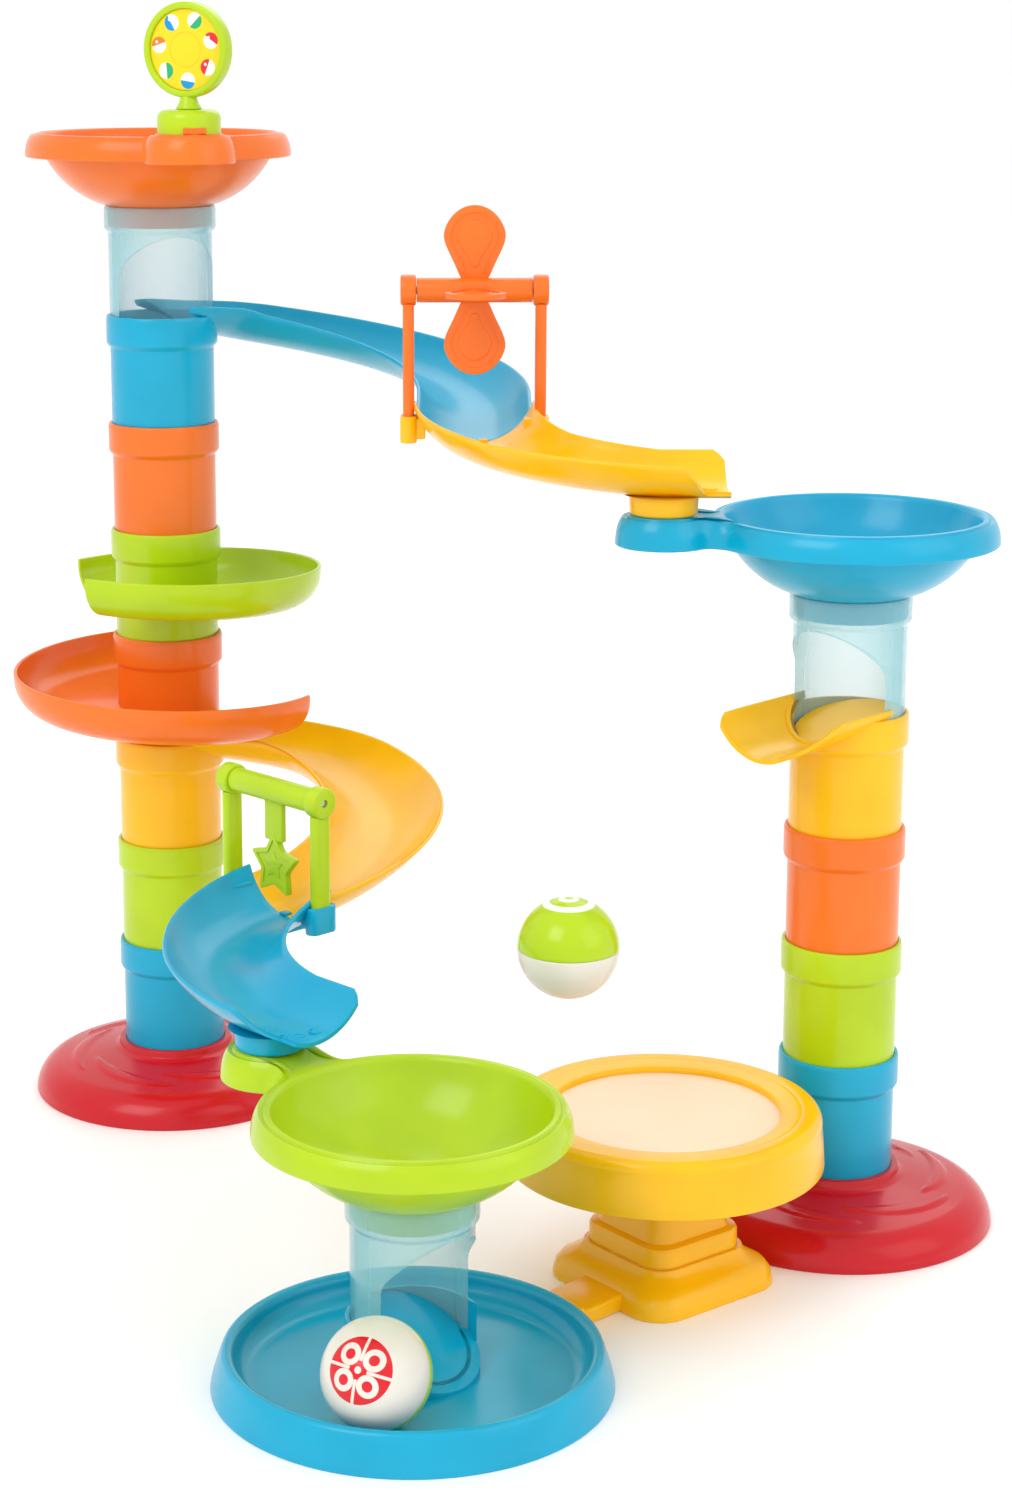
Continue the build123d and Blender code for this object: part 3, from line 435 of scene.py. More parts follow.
@dataclass(frozen=True)
class PrintedBall:
    """A ball half with a flower or a ring printed round its pole."""

    hue: Hue
    centre: Vector
    pole: Vector
    ink: Triple
    flower: bool
    mark_radius: float = 0.0148
    petals: int = 4
    petal_ring: float = 0.0082
    petal_radius: float = 0.0050
    petal_core: float = 0.0024
    slit: float = 0.0007
    bud: float = 0.0042
    eye: float = 0.0016
    band: Pair = (0.0112, 0.0017)
    ring: Pair = (0.0052, 0.0022)

    def material(self, name: str) -> Material:
        """Build the material.

        Args:
            name: the material's name.

        Returns:
            The material.
        """
        graph = Graph(name)
        turn = self.pole.to_track_quat("Z", "Y").to_euler()
        across, along, up = graph.split(graph.coordinates(self.centre, tuple(turn)))
        radius = (across * across + along * along).root()
        front = up.above(0.0)
        plastic = Moulded(self.hue, roughness=0.18)
        colour = plastic.colour(graph)
        if self.flower:
            mark = radius.below(self.mark_radius)
            for index in range(self.petals):
                angle = FULL_TURN * (index + 0.42) / self.petals
                x = across - self.petal_ring * cos(angle)
                y = along - self.petal_ring * sin(angle)
                reach = (x * x + y * y).root()
                hole = reach.below(self.petal_radius) - reach.below(self.petal_core)
                mark = mark * (1 - hole)
                side = across * cos(angle + 0.785) + along * sin(angle + 0.785)
                mark = mark * (1 - side.absolute().below(self.slit) * radius.above(self.bud))
            mark = mark * (1 - radius.below(self.eye))
        else:
            band = (radius - self.band[0]).absolute().below(self.band[1])
            core = radius.below(self.ring[0]) - radius.below(self.ring[1])
            mark = band.highest(core)
        return plastic.finish(graph, graph.mixed(mark * front, colour, self.ink))


# ------------------------------------------------------------------ mesh tools
def arc(
    start: Sequence[float], middle: Sequence[float], end: Sequence[float], count: int
) -> list[Pair]:
    """Points along the arc through three points.

    Args:
        start: first point.
        middle: a point on the way.
        end: last point.
        count: number of points, both ends included.

    Returns:
        The points.
    """
    (ax, ay), (bx, by), (cx, cy) = start, middle, end
    d = 2 * (ax * (by - cy) + bx * (cy - ay) + cx * (ay - by))
    a2, b2, c2 = ax * ax + ay * ay, bx * bx + by * by, cx * cx + cy * cy
    ox = (a2 * (by - cy) + b2 * (cy - ay) + c2 * (ay - by)) / d
    oy = (a2 * (cx - bx) + b2 * (ax - cx) + c2 * (bx - ax)) / d
    radius = hypot(ax - ox, ay - oy)
    first = atan2(ay - oy, ax - ox)
    half = (atan2(by - oy, bx - ox) - first + pi) % FULL_TURN - pi
    rest = (atan2(cy - oy, cx - ox) - atan2(by - oy, bx - ox) + pi) % FULL_TURN - pi
    sweep = half + rest
    return [
        (
            ox + radius * cos(first + sweep * i / (count - 1)),
            oy + radius * sin(first + sweep * i / (count - 1))
        )
        for i in range(count)
    ]


def blend(low: float, high: float, share: float) -> float:
    """Linear mix of two numbers."""
    return low + (high - low) * share


def ease(share: float) -> float:
    """Smooth step from 0 to 1."""
    share = min(1.0, max(0.0, share))
    return share * share * (3 - 2 * share)


def upright(place: Sequence[float], z: float = 0.0, turn: float = 0.0) -> Matrix:
    """Place on the plan, with a turn in degrees about Z."""
    return Matrix.Translation((place[0], place[1], z)) @ Matrix.Rotation(radians(turn), 4, "Z")


def soften(bm: BMesh, width: float, limit: float = 50.0, segments: int = 3) -> BMesh:
    """Round the edges that are sharper than a limit.

    Args:
        bm: the mesh.
        width: how far the rounding reaches, in millimetres.
        limit: smallest edge angle that is rounded, in degrees.
        segments: faces across the rounding.

    Returns:
        The same mesh.
    """
    edges = [e for e in bm.edges if e.is_manifold and e.calc_face_angle(0.0) > radians(limit)]
    bmesh.ops.bevel(
        bm, geom=edges, offset=width, offset_type="OFFSET", affect="EDGES", segments=segments,
        profile=0.5, material=-1, clamp_overlap=True,
    )
    return bm


def turned(
    profile: Iterable[Sequence[float]], steps: int = ROUND_STEPS, turn: float = FULL_TURN,
    rise: float = 0.0
) -> BMesh:
    """Spin a closed profile about Z.

    Args:
        profile: corners as (radius, height) or (radius, height, rounding).
        steps: faces round the whole spin.
        turn: angle of the spin in radians; a full turn closes on itself.
        rise: height gained over the spin.

    Returns:
        The turned mesh.
    """
    bm = bmesh.new()
    corners = list(profile)
    verts = [bm.verts.new((c[0], 0.0, c[1])) for c in corners]
    bm.faces.new(verts)
    for size in sorted({c[2] for c in corners if len(c) > 2}):
        chosen = [v for v, c in zip(verts, corners) if len(c) > 2 and c[2] == size and v.is_valid]
        bmesh.ops.bevel(
            bm, geom=chosen, offset=size, offset_type="OFFSET", affect="VERTICES", segments=4,
            profile=0.5, material=-1
        )
    bmesh.ops.delete(bm, geom=bm.faces[:], context="FACES_ONLY")
    whole = turn >= FULL_TURN - 1e-6
    bmesh.ops.spin(
        bm, geom=bm.verts[:] + bm.edges[:], axis=(0, 0, 1), cent=(0, 0, 0), angle=turn, steps=steps,
        dvec=(0, 0, rise / steps), use_merge=whole,
    )
    bmesh.ops.remove_doubles(bm, verts=bm.verts[:], dist=1e-3)
    bmesh.ops.delete(bm, geom=[e for e in bm.edges if e.is_wire], context="EDGES")
    if not whole:
        bmesh.ops.holes_fill(bm, edges=[e for e in bm.edges if e.is_boundary], sides=0)
    bmesh.ops.recalc_face_normals(bm, faces=bm.faces[:])
    return bm


def lofted(rings: Sequence[Sequence[Vector]], capped: bool = True) -> BMesh:
    """Skin a row of closed rings that have the same number of points.

    Args:
        rings: the rings in order.
        capped: whether the two ends are filled; otherwise the last ring meets the first.

    Returns:
        The skinned mesh.
    """
    around = len(rings[0])
    rows = list(rings) + ([] if capped else [rings[0]])
    bm = bmesh.new()
    bmesh.ops.create_grid(bm, x_segments=around, y_segments=len(rows) - 1, size=1.0)
    for vert in bm.verts:
        column = round((vert.co.x + 1) / 2 * around) % around
        row = round((vert.co.y + 1) / 2 * (len(rows) - 1))
        vert.co = rows[row][column]
    bmesh.ops.remove_doubles(bm, verts=bm.verts[:], dist=1e-3)
    if capped:
        bmesh.ops.holes_fill(bm, edges=[e for e in bm.edges if e.is_boundary], sides=0)
    bmesh.ops.recalc_face_normals(bm, faces=bm.faces[:])
    return bm


def plate(
    outline: Sequence[Sequence[float]], thickness: float, corner: float = 0.0, edge: float = 0.6
) -> BMesh:
    """Flat plate in the YZ plane, centred on X, with rounded corners and edges.

    Args:
        outline: corners as (y, z).
        thickness: across X.
        corner: rounding of the outline's corners.
        edge: rounding of its edges.

    Returns:
        The plate.
    """
    bm = bmesh.new()
    verts = [bm.verts.new((-thickness / 2, y, z)) for y, z in outline]
    face = bm.faces.new(verts)
    if corner:
        bmesh.ops.bevel(
            bm, geom=verts, offset=corner, offset_type="OFFSET", affect="VERTICES", segments=4,
            profile=0.5, material=-1
        )
        face = bm.faces[:][0]
    grown = bmesh.ops.extrude_face_region(bm, geom=[face])
    moved = [g for g in grown["geom"] if isinstance(g, bmesh.types.BMVert)]
    bmesh.ops.translate(bm, vec=(thickness, 0, 0), verts=moved)
    bmesh.ops.recalc_face_normals(bm, faces=bm.faces[:])
    return soften(bm, edge) if edge else bm


def framed(bm: BMesh, inner: BMesh) -> BMesh:
    """Cut a smaller plate out of both faces of a plate, leaving a raised outline.

    Args:
        bm: a plate across X, centred on it.
        inner: plate of the sunk middle, as thick as each cut is deep.

    Returns:
        The cut plate.
    """
    half = max(v.co.x for v in bm.verts)
    for side in (-1, 1):
        bm = carved(bm, placed(inner.copy(), Matrix.Translation((side * half, 0, 0))))
    inner.free()
    return bm


def block(size: Sequence[float], centre: Sequence[float], edge: float) -> BMesh:
    """Rounded block.

    Args:
        size: its three sizes.
        centre: its middle.
        edge: rounding of the edges.

    Returns:
        The block.
    """
    bm = bmesh.new()
    bmesh.ops.create_cube(bm, size=1.0)
    bmesh.ops.scale(bm, vec=size, verts=bm.verts[:])
    bmesh.ops.translate(bm, vec=centre, verts=bm.verts[:])
    return soften(bm, edge)


def bar(width: float, length: float, low: float, high: float, edge: float = 0.6) -> BMesh:
    """Upright round-ended bar, long side along X.

    Args:
        width: its size along Y.
        length: its size along X.
        low: height of its foot.
        high: height of its top.
        edge: rounding of its edges.

    Returns:
        The bar.
    """
    half = (length - width) / 2
    ring = [
        (cos(a) * width / 2 + copysign(half, cos(a)), sin(a) * width / 2)
        for a in (FULL_TURN * (i + 0.5) / 32 for i in range(32))
    ]
    return soften(lofted([[Vector((x, y, z)) for x, y in ring] for z in (low, high)]), edge)


def joined(parts: Sequence[BMesh]) -> BMesh:
    """Put several meshes into one.

    Args:
        parts: the meshes, which are used up.

    Returns:
        The whole.
    """
    whole = bmesh.new()
    for part in parts:
        data = bpy.data.meshes.new("part")
        part.to_mesh(data)
        whole.from_mesh(data)
        bpy.data.meshes.remove(data)
        part.free()
    return whole


def placed(bm: BMesh, matrix: Matrix) -> BMesh:
    """Move a mesh."""
    bmesh.ops.transform(bm, matrix=matrix, verts=bm.verts[:])
    return bm


def carved(body: BMesh, tool: BMesh, operation: str = "DIFFERENCE") -> BMesh:
    """Cut, join or cross two closed meshes.

    Args:
        body: the mesh that is kept.
        tool: the mesh that cuts it.
        operation: DIFFERENCE, UNION or INTERSECT.

    Returns:
        The result.
    """
    objects = []
    for bm in (body, tool):
        data = bpy.data.meshes.new("carving")
        bm.to_mesh(data)
        bm.free()
        carrier = bpy.data.objects.new("carving", data)
        bpy.context.scene.collection.objects.link(carrier)
        objects.append(carrier)
    modifier = objects[0].modifiers.new("cut", "BOOLEAN")
    modifier.operation, modifier.solver, modifier.object = operation, "EXACT", objects[1]
    bpy.context.view_layer.update()
    result = bpy.data.meshes.new_from_object(
        objects[0].evaluated_get(bpy.context.evaluated_depsgraph_get())
    )
    out = bmesh.new()
    out.from_mesh(result)
    bpy.data.meshes.remove(result)
    for carrier in objects:
        data = carrier.data
        bpy.data.objects.remove(carrier)
        bpy.data.meshes.remove(data)
    bmesh.ops.remove_doubles(out, verts=out.verts[:], dist=1e-3)
    return out


class Workshop:
    """Finishes meshes as pieces that ride on the frame's bodies."""

    def __init__(self) -> None:
        """Prepare the shared plastics."""
        self.plastics = {hue: Moulded(hue).material() for hue in Hue}
        self.clear = ClearTint().material()
        self.steel = PlainSteel().material()

    def piece(
        self, name: str, bm: BMesh, finish: Hue | Material, slot: str | None = None,
        body: str = "root",
        nodes: Sequence[str] = (), place: Matrix | None = None, smooth: float = 38.0,
    ) -> bpy.types.Object:
        """Turn a mesh in millimetres into a piece in metres.

        Args:
            name: the piece's name.
            bm: its mesh.
            finish: a plastic colour or a material.
            slot: not used.
            body: the body that it rides on.
            nodes: the frame's nodes that it stands for.
            place: where it goes, in millimetres.
            smooth: largest edge angle that is shaded smooth, in degrees.

        Returns:
            The piece.
        """
        bmesh.ops.transform(
            bm, matrix=Matrix.Scale(MM, 4) @ (place or Matrix.Identity(4)), verts=bm.verts[:]
        )
        data = bpy.data.meshes.new(name)
        bm.to_mesh(data)
        bm.free()
        data.polygons.foreach_set("use_smooth", [True] * len(data.polygons))
        data.set_sharp_from_angle(angle=radians(smooth))
        made = bpy.data.objects.new(name, data)
        bpy.context.scene.collection.objects.link(made)
        made.data.materials.append(self.plastics[finish] if isinstance(finish, Hue) else finish)
        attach(made, body)
        if nodes:
            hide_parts(*nodes)
        log.info("piece %s: %d faces on %s", name, len(data.polygons), body)
        return made


# ------------------------------------------------------------------ paths and troughs
@dataclass(frozen=True)
class Leg:
    """Part of a plan path: a straight, or an arc with a turn in degrees, positive to the left."""

    length: float
    turn: float = 0.0


def bend(radius: float, turn: float) -> Leg:
    """Arc of a radius and a turn in degrees, positive to the left."""
    return Leg(radius * radians(abs(turn)), turn)


@dataclass
class Path:
    """Plan path that starts at a point and a heading."""

    start: Pair
    heading: float
    legs: list[Leg]

    @property
    def length(self) -> float:
        """Length of the whole path."""
        return sum(leg.length for leg in self.legs)

    def at(self, distance: float) -> Triple:
        """Point and heading in radians at a distance.

        Args:
            distance: along the path.

        Returns:
            x, y and heading.
        """
        (x, y), heading = self.start, radians(self.heading)
        for index, leg in enumerate(self.legs):
            last = index == len(self.legs) - 1
            step = distance if last else min(distance, leg.length)
            turn = radians(leg.turn) * step / leg.length
            chord = step if abs(turn) < 1e-9 else 2 * step / turn * sin(turn / 2)
            x += chord * cos(heading + turn / 2)
            y += chord * sin(heading + turn / 2)
            heading += turn
            distance -= step
            if distance <= 1e-9:
                break
        return x, y, heading

    def point(self, distance: float, left: float, z: float) -> Vector:
        """Point at a distance along the path, a way to its left and at a height."""
        x, y, heading = self.at(distance)
        return Vector((x - left * sin(heading), y + left * cos(heading), z))


@dataclass
class Gutter:
    """Trough swept along a path, with rounded rims."""

    path: Path
    start: float
    end: float
    floor: Callable[[float], float]
    widths: Callable[[float], Pair]
    rims: Callable[[float], Pair]
    depth: float = TROUGH_DEPTH
    wall: float = WALL
    step: float = 3.0
    across: int = 14
    lip: int = 4
    root_radius: float = 0.0

    def section(self, distance: float) -> list[Pair]:
        """Closed section as (left, height) points.

        Args:
            distance: along the path.

        Returns:
            The section's points, always as many.
        """
        inner: list[Pair] = []
        outer: list[Pair] = []
        for side, width, rim in zip((1, -1), self.widths(distance), self.rims(distance)):
            radius = (width * width + self.depth * self.depth) / (2 * self.depth)
            top = acos(max(-1.0, 1 - rim / radius))
            turns = [top * (1 - i / self.across) for i in range(self.across)]
            if side < 0:
                turns = [0.0] + turns[::-1]
            inner += [(side * radius * sin(a), radius - radius * cos(a)) for a in turns]
            grown = radius + self.wall
            outer += [(side * grown * sin(a), radius - grown * cos(a)) for a in turns]
        points = list(inner)
        points += self.rounded(inner[-1], outer[-1])
        points += outer[::-1]
        points += self.rounded(outer[0], inner[0])
        return points

    def rounded(self, first: Pair, last: Pair) -> list[Pair]:
        """Half circle of points over a rim, from one side of the wall to the other.

        Args:
            first: where the half circle starts.
            last: where it ends.

        Returns:
            The points between both.
        """
        cx, cy = (first[0] + last[0]) / 2, (first[1] + last[1]) / 2
        dx, dy = first[0] - cx, first[1] - cy
        made = []
        for index in range(1, self.lip + 1):
            a = pi * index / (self.lip + 1)
            for side in (-a, a):
                turn_x = dx * cos(side) - dy * sin(side)
                turn_y = dx * sin(side) + dy * cos(side)
                if turn_y >= 0 or abs(dx) <= abs(dy):
                    break
            made.append((cx + turn_x, cy + turn_y))
        return made

    def root(self, left: float) -> float:
        """Distance at which a line beside the path leaves the tower's tube."""
        reach = self.root_radius
        return sqrt(max(0.0, reach * reach - left * left)) if reach else self.start

    def mesh(self) -> BMesh:
        """Sweep the section.

        Returns:
            The trough.
        """
        count = max(2, round((self.end - self.start) / self.step))
        rings = []
        for index in range(count + 1):
            share = index / count
            distance = blend(self.start, self.end, share)
            ring = []
            for left, height in self.section(distance):
                along = distance
                if self.root_radius:
                    fade = max(0.0, 1 - (distance - self.start) / 30.0)
                    along = distance + (self.root(left) - self.start) * fade
                ring.append(self.path.point(along, left, self.floor(distance) + height))
            rings.append(ring)
        return soften(lofted(rings), 0.7, 60.0)


# ------------------------------------------------------------------ towers
@dataclass
class Stack:
    """A tower's plain parts: base, tubes and clear window tube."""

    collar_height: float = 16.0
    clear_collar_height: float = 12.5
    clear_socket_depth: float = 11.5
    window_half_width: float = 28.3
    window_side: float = 21.0
    window_top: float = 45.3

    def level(self, number: int) -> float:
        """Height of a module's lower end."""
        return SEAT + number * PITCH

    def plain_tube(self) -> BMesh:
        """Stacking tube of a coloured module."""
        return self.tube(self.collar_height, SOCKET_DEPTH)

    def tube(self, collar: float, socket: float) -> BMesh:
        """Stacking tube with a rounded collar.

        Args:
            collar: height of the collar.
            socket: depth of the socket in its top.

        Returns:
            The tube, with its shoulder at height 0.
        """
        top, taper = PITCH, PITCH - collar
        return turned(
            [
                (BORE_RADIUS, -SOCKET_DEPTH), (TUBE_RADIUS, -SOCKET_DEPTH, 0.5),
                (TUBE_RADIUS, taper - 2.5, 0.4), (COLLAR_RADIUS, taper, 0.9),
                (COLLAR_RADIUS, top - 2.0, 0.4), (COLLAR_RADIUS - 0.5, top, 0.5),
                (SOCKET_RADIUS, top, 0.4), (SOCKET_RADIUS, top - socket),
                (BORE_RADIUS, top - socket),
            ]
        )

    def base(self) -> BMesh:
        """Round base with a dished dome and raised crescents.

        Returns:
            The base.
        """
        dome = arc((83.0, 0.8), (80.0, 10.5), (71.5, 17.6), 12) + arc(
            (70.0, 18.2), (54.0, 21.6), (36.5, 24.6), 30
        )
        profile = [
            *dome, (33.6, 26.0, 0.8), (33.2, SEAT, 0.7), (SOCKET_RADIUS, SEAT, 0.4),
            (SOCKET_RADIUS, SEAT - SOCKET_DEPTH), (0.0, SEAT - SOCKET_DEPTH), (0.0, 12.8),
            (33.0, 12.8), (33.0, 21.8), (68.0, 15.8), (79.6, 0.0), (82.4, 0.0),
        ]
        bm = turned(profile, 2 * ROUND_STEPS)
        for vert in bm.verts:
            if vert.co.z >= 18.6 and 37.0 < vert.co.xy.length < 69.0:
                vert.co.z += self.crescent(vert.co.xy.length, atan2(vert.co.y, vert.co.x))
        return bm

    @staticmethod
    def crescent(radius: float, angle: float, count: int = 6, reach: float = 0.62) -> float:
        """Height of the raised crescents at a place on a base.

        Args:
            radius: distance from the middle.
            angle: azimuth in radians.
            count: number of crescents.
            reach: half of each crescent's angle in radians.

        Returns:
            How far the dome is raised there.
        """
        height = 0.0
        for index in range(count):
            middle = FULL_TURN * index / count
            offset = (angle - middle + pi) % FULL_TURN - pi
            share = abs(offset) / reach
            if share < 1:
                centre = 56.0 + 6.5 * offset / reach
                half = 3.6 * (1 - share * share)
                height += 1.1 * ease((half - abs(radius - centre)) / 1.6 + 0.5)
        return height

    def window(self, azimuth: float) -> BMesh:
        """Clear tube with an arch cut out of one side.

        Args:
            azimuth: where the arch looks, in degrees.

        Returns:
            The tube.
        """
        arch = [
            (
                self.window_half_width * cos(a),
                self.window_side + (self.window_top - self.window_side) * sin(a)
            )
            for a in (pi * i / 28 for i in range(29))
        ]
        low = -SOCKET_DEPTH - 2
        tool = plate(
            [*arch, (-self.window_half_width, low), (self.window_half_width, low)], 60.0, 0.0, 0.0
        )
        placed(tool, Matrix.Rotation(radians(azimuth), 4, "Z") @ Matrix.Translation((30.0, 0, 0)))
        return carved(self.tube(self.clear_collar_height, self.clear_socket_depth), tool)

    def deflector(self, azimuth: float, drop: float) -> BMesh:
        """Slanted plug in a collar that turns the ball out sideways.

        Args:
            azimuth: where the ball leaves, in degrees.
            drop: how far below the collar's top the slope ends.

        Returns:
            The plug.
        """
        radius, bottom, top = BORE_RADIUS - 0.05, PITCH - SOCKET_DEPTH - 3, PITCH + 0.5
        low = PITCH - drop
        slab = plate(
            [(radius, bottom), (-radius, bottom), (-radius, top), (radius, low)], 2 * radius + 2,
            0.0, 0.0
        )
        drum = turned([(0, bottom - 1), (radius, bottom - 1), (radius, top + 1), (0, top + 1)], 64)
        plug = carved(drum, slab, "INTERSECT")
        return placed(plug, Matrix.Rotation(radians(azimuth - 90), 4, "Z"))


@dataclass
class Bowl:
    """Bowl with a rolled skirt and a lug that flows out of its rim."""

    rim: float = 69.0
    inner: float = 65.0
    reach: float = LUG_REACH
    lug: float = 18.6
    fillet: float = 15.0
    crest: float = 41.0
    lug_top: float = LUG_TOP
    skirt_low: float = 27.7
    flare: float = 6.0
    wall: float = WALL
    spigot: float = 11.5
    bore: float = BORE_RADIUS

    def outline(self) -> list[tuple[Vector, Vector, float, float]]:
        """Crest outline with the lug on +X.

        Returns:
            For each point its place, outward normal, azimuth on the inner rings and share of
            the lug.
        """
        a, b = self.rim + self.fillet, self.lug + self.fillet
        open_angle = acos((a * a + self.reach**2 - b * b) / (2 * a * self.reach))
        centre = Vector((a * cos(open_angle), a * sin(open_angle)))
        toward = (Vector((self.reach, 0.0)) - centre).normalized()
        lug_angle = atan2(-toward.y, -toward.x)
        made = []
        for index in range(25):
            angle = lug_angle * index / 24
            normal = Vector((cos(angle), sin(angle)))
            made.append(
                (
                    Vector((self.reach, 0.0)) + normal * self.lug, normal, index / 36 * open_angle,
                    1.0
                )
            )
        first, last = atan2(toward.y, toward.x), atan2(-centre.y, -centre.x)
        sweep = (last - first + pi) % FULL_TURN - pi
        for index in range(1, 13):
            angle = first + sweep * index / 12
            out = Vector((cos(angle), sin(angle)))
            share = (24 + index) / 36
            made.append(
                (centre + out * self.fillet, -out, share * open_angle, 1 - ease(index / 12))
            )
        for index in range(1, 60):
            angle = blend(open_angle, pi, index / 60)
            normal = Vector((cos(angle), sin(angle)))
            made.append((normal * self.rim, normal, angle, 0.0))
        mirrored = [
            (Vector((p.x, -p.y)), Vector((n.x, -n.y)), -azimuth, share) for p, n, azimuth,
            share in made[1:][::-1]
        ]
        tail = (Vector((-self.rim, 0.0)), Vector((-1.0, 0.0)), pi, 0.0)
        return [*made, tail, *mirrored]

    def mesh(self, turn: float) -> BMesh:
        """Build the bowl.

        Args:
            turn: azimuth of the lug in degrees.

        Returns:
            The bowl, with its spigot's shoulder at height 0.
        """
        outline = self.outline()

        def round_ring(radius: float, z: float) -> list[Vector]:
            """Circle with as many points as the outline."""
            return [Vector((radius * cos(t), radius * sin(t), z)) for _, _, t, _ in outline]

        def rim_ring(out: float, z_rim: float, z_lug: float) -> list[Vector]:
            """Outline moved outwards, with a height at the rim and one at the lug."""
            return [Vector((*(p + n * out), blend(z_rim, z_lug, s))) for p, n, _, s in outline]

        def top_ring(share: float) -> list[Vector]:
            """Ring between the inner edge and the outline."""
            low, high = round_ring(self.inner + 2.0, self.crest), rim_ring(
                -1.6, self.crest, self.lug_top
            )
            return [
                Vector((*a.xy.lerp(b.xy, share), blend(a.z, b.z, ease(share * 1.6)))) for a,
                b in zip(low, high)
            ]

        foot, crest, lug, flare = self.skirt_low, self.crest, self.lug_top, self.flare
        cup = arc((self.bore, 2.0), (49.0, 13.0), (self.inner, crest - 3), 22)
        rings = [round_ring(self.bore, -self.spigot), round_ring(self.bore, 1.0)]
        rings += [round_ring(r, z) for r, z in (*cup, (self.inner + 0.7, crest - 0.9))]
        rings += [top_ring(share) for share in (0.0, 0.15, 0.35, 0.6, 0.85, 1.0)]
        skirt = [(-0.5, crest - 0.35, lug - 0.35), (0.3, crest - 1.6, lug - 1.6)]
        for angle in (radians(90 * step / 8) for step in range(2, 8)):
            fall = 1 - cos(angle)
            skirt.append(
                (flare * sin(angle), blend(crest, foot, fall), blend(lug, foot + 0.8, fall))
            )
        skirt += [
            (flare, foot + 0.6, foot + 1.2), (flare - 0.5, foot, foot + 0.6),
            (flare - self.wall, foot + 0.2, foot + 0.8),
        ]
        for share in (0.5, 0.95):
            out = flare * (1 - share) - self.wall
            skirt.append((out, blend(foot, crest - 3, share), blend(foot + 1, lug - 3, share)))
        rings += [rim_ring(*row) for row in skirt]
        under = [
            Vector((*a.xy.lerp(b.xy, 0.5), (a.z + b.z) / 2))
            for a, b in zip(rings[-1], round_ring(self.inner + self.wall, self.crest - 4.6))
        ]
        rings += [under]
        rings += [
            round_ring(r, z) for r,
            z in arc((self.inner + self.wall, self.crest - 5), (50.0, 10.6), (TUBE_RADIUS, 0.0), 20)
        ]
        rings += [
            round_ring(TUBE_RADIUS, -self.spigot + 0.4), round_ring(TUBE_RADIUS - 0.4, -self.spigot)
        ]
        return placed(lofted(rings, capped=False), Matrix.Rotation(radians(turn), 4, "Z"))


@dataclass
class ChuteModule:
    """Tower module whose curved chute runs to a gate."""

    path: Path
    collar_z: float
    gate_floor: float
    bulge_out: float = 0.0
    bulge_in: float = 0.0

    def gutter(self) -> Gutter:
        """The chute's trough.

        Returns:
            The trough, ready to be swept.
        """
        start, end = TUBE_RADIUS, self.path.length

        def share(distance: float) -> float:
            """How far along the chute a distance is, from 0 to 1."""
            return max(0.0, distance - start) / (end - start)

        def floor(distance: float) -> float:
            """Height of the floor."""
            return blend(self.collar_z - EXIT_DROP, self.gate_floor, share(distance))

        def widths(distance: float) -> Pair:
            """Half widths on the left and on the right."""
            swell = sin(pi * share(distance))
            half = TROUGH_HALF_WIDTH
            return half + self.bulge_out * swell, half + self.bulge_in * swell

        def rims(_: float) -> Pair:
            """Rim heights on the left and on the right."""
            return TROUGH_DEPTH, TROUGH_DEPTH

        return Gutter(self.path, 24.0, end, floor, widths, rims, root_radius=TUBE_RADIUS)


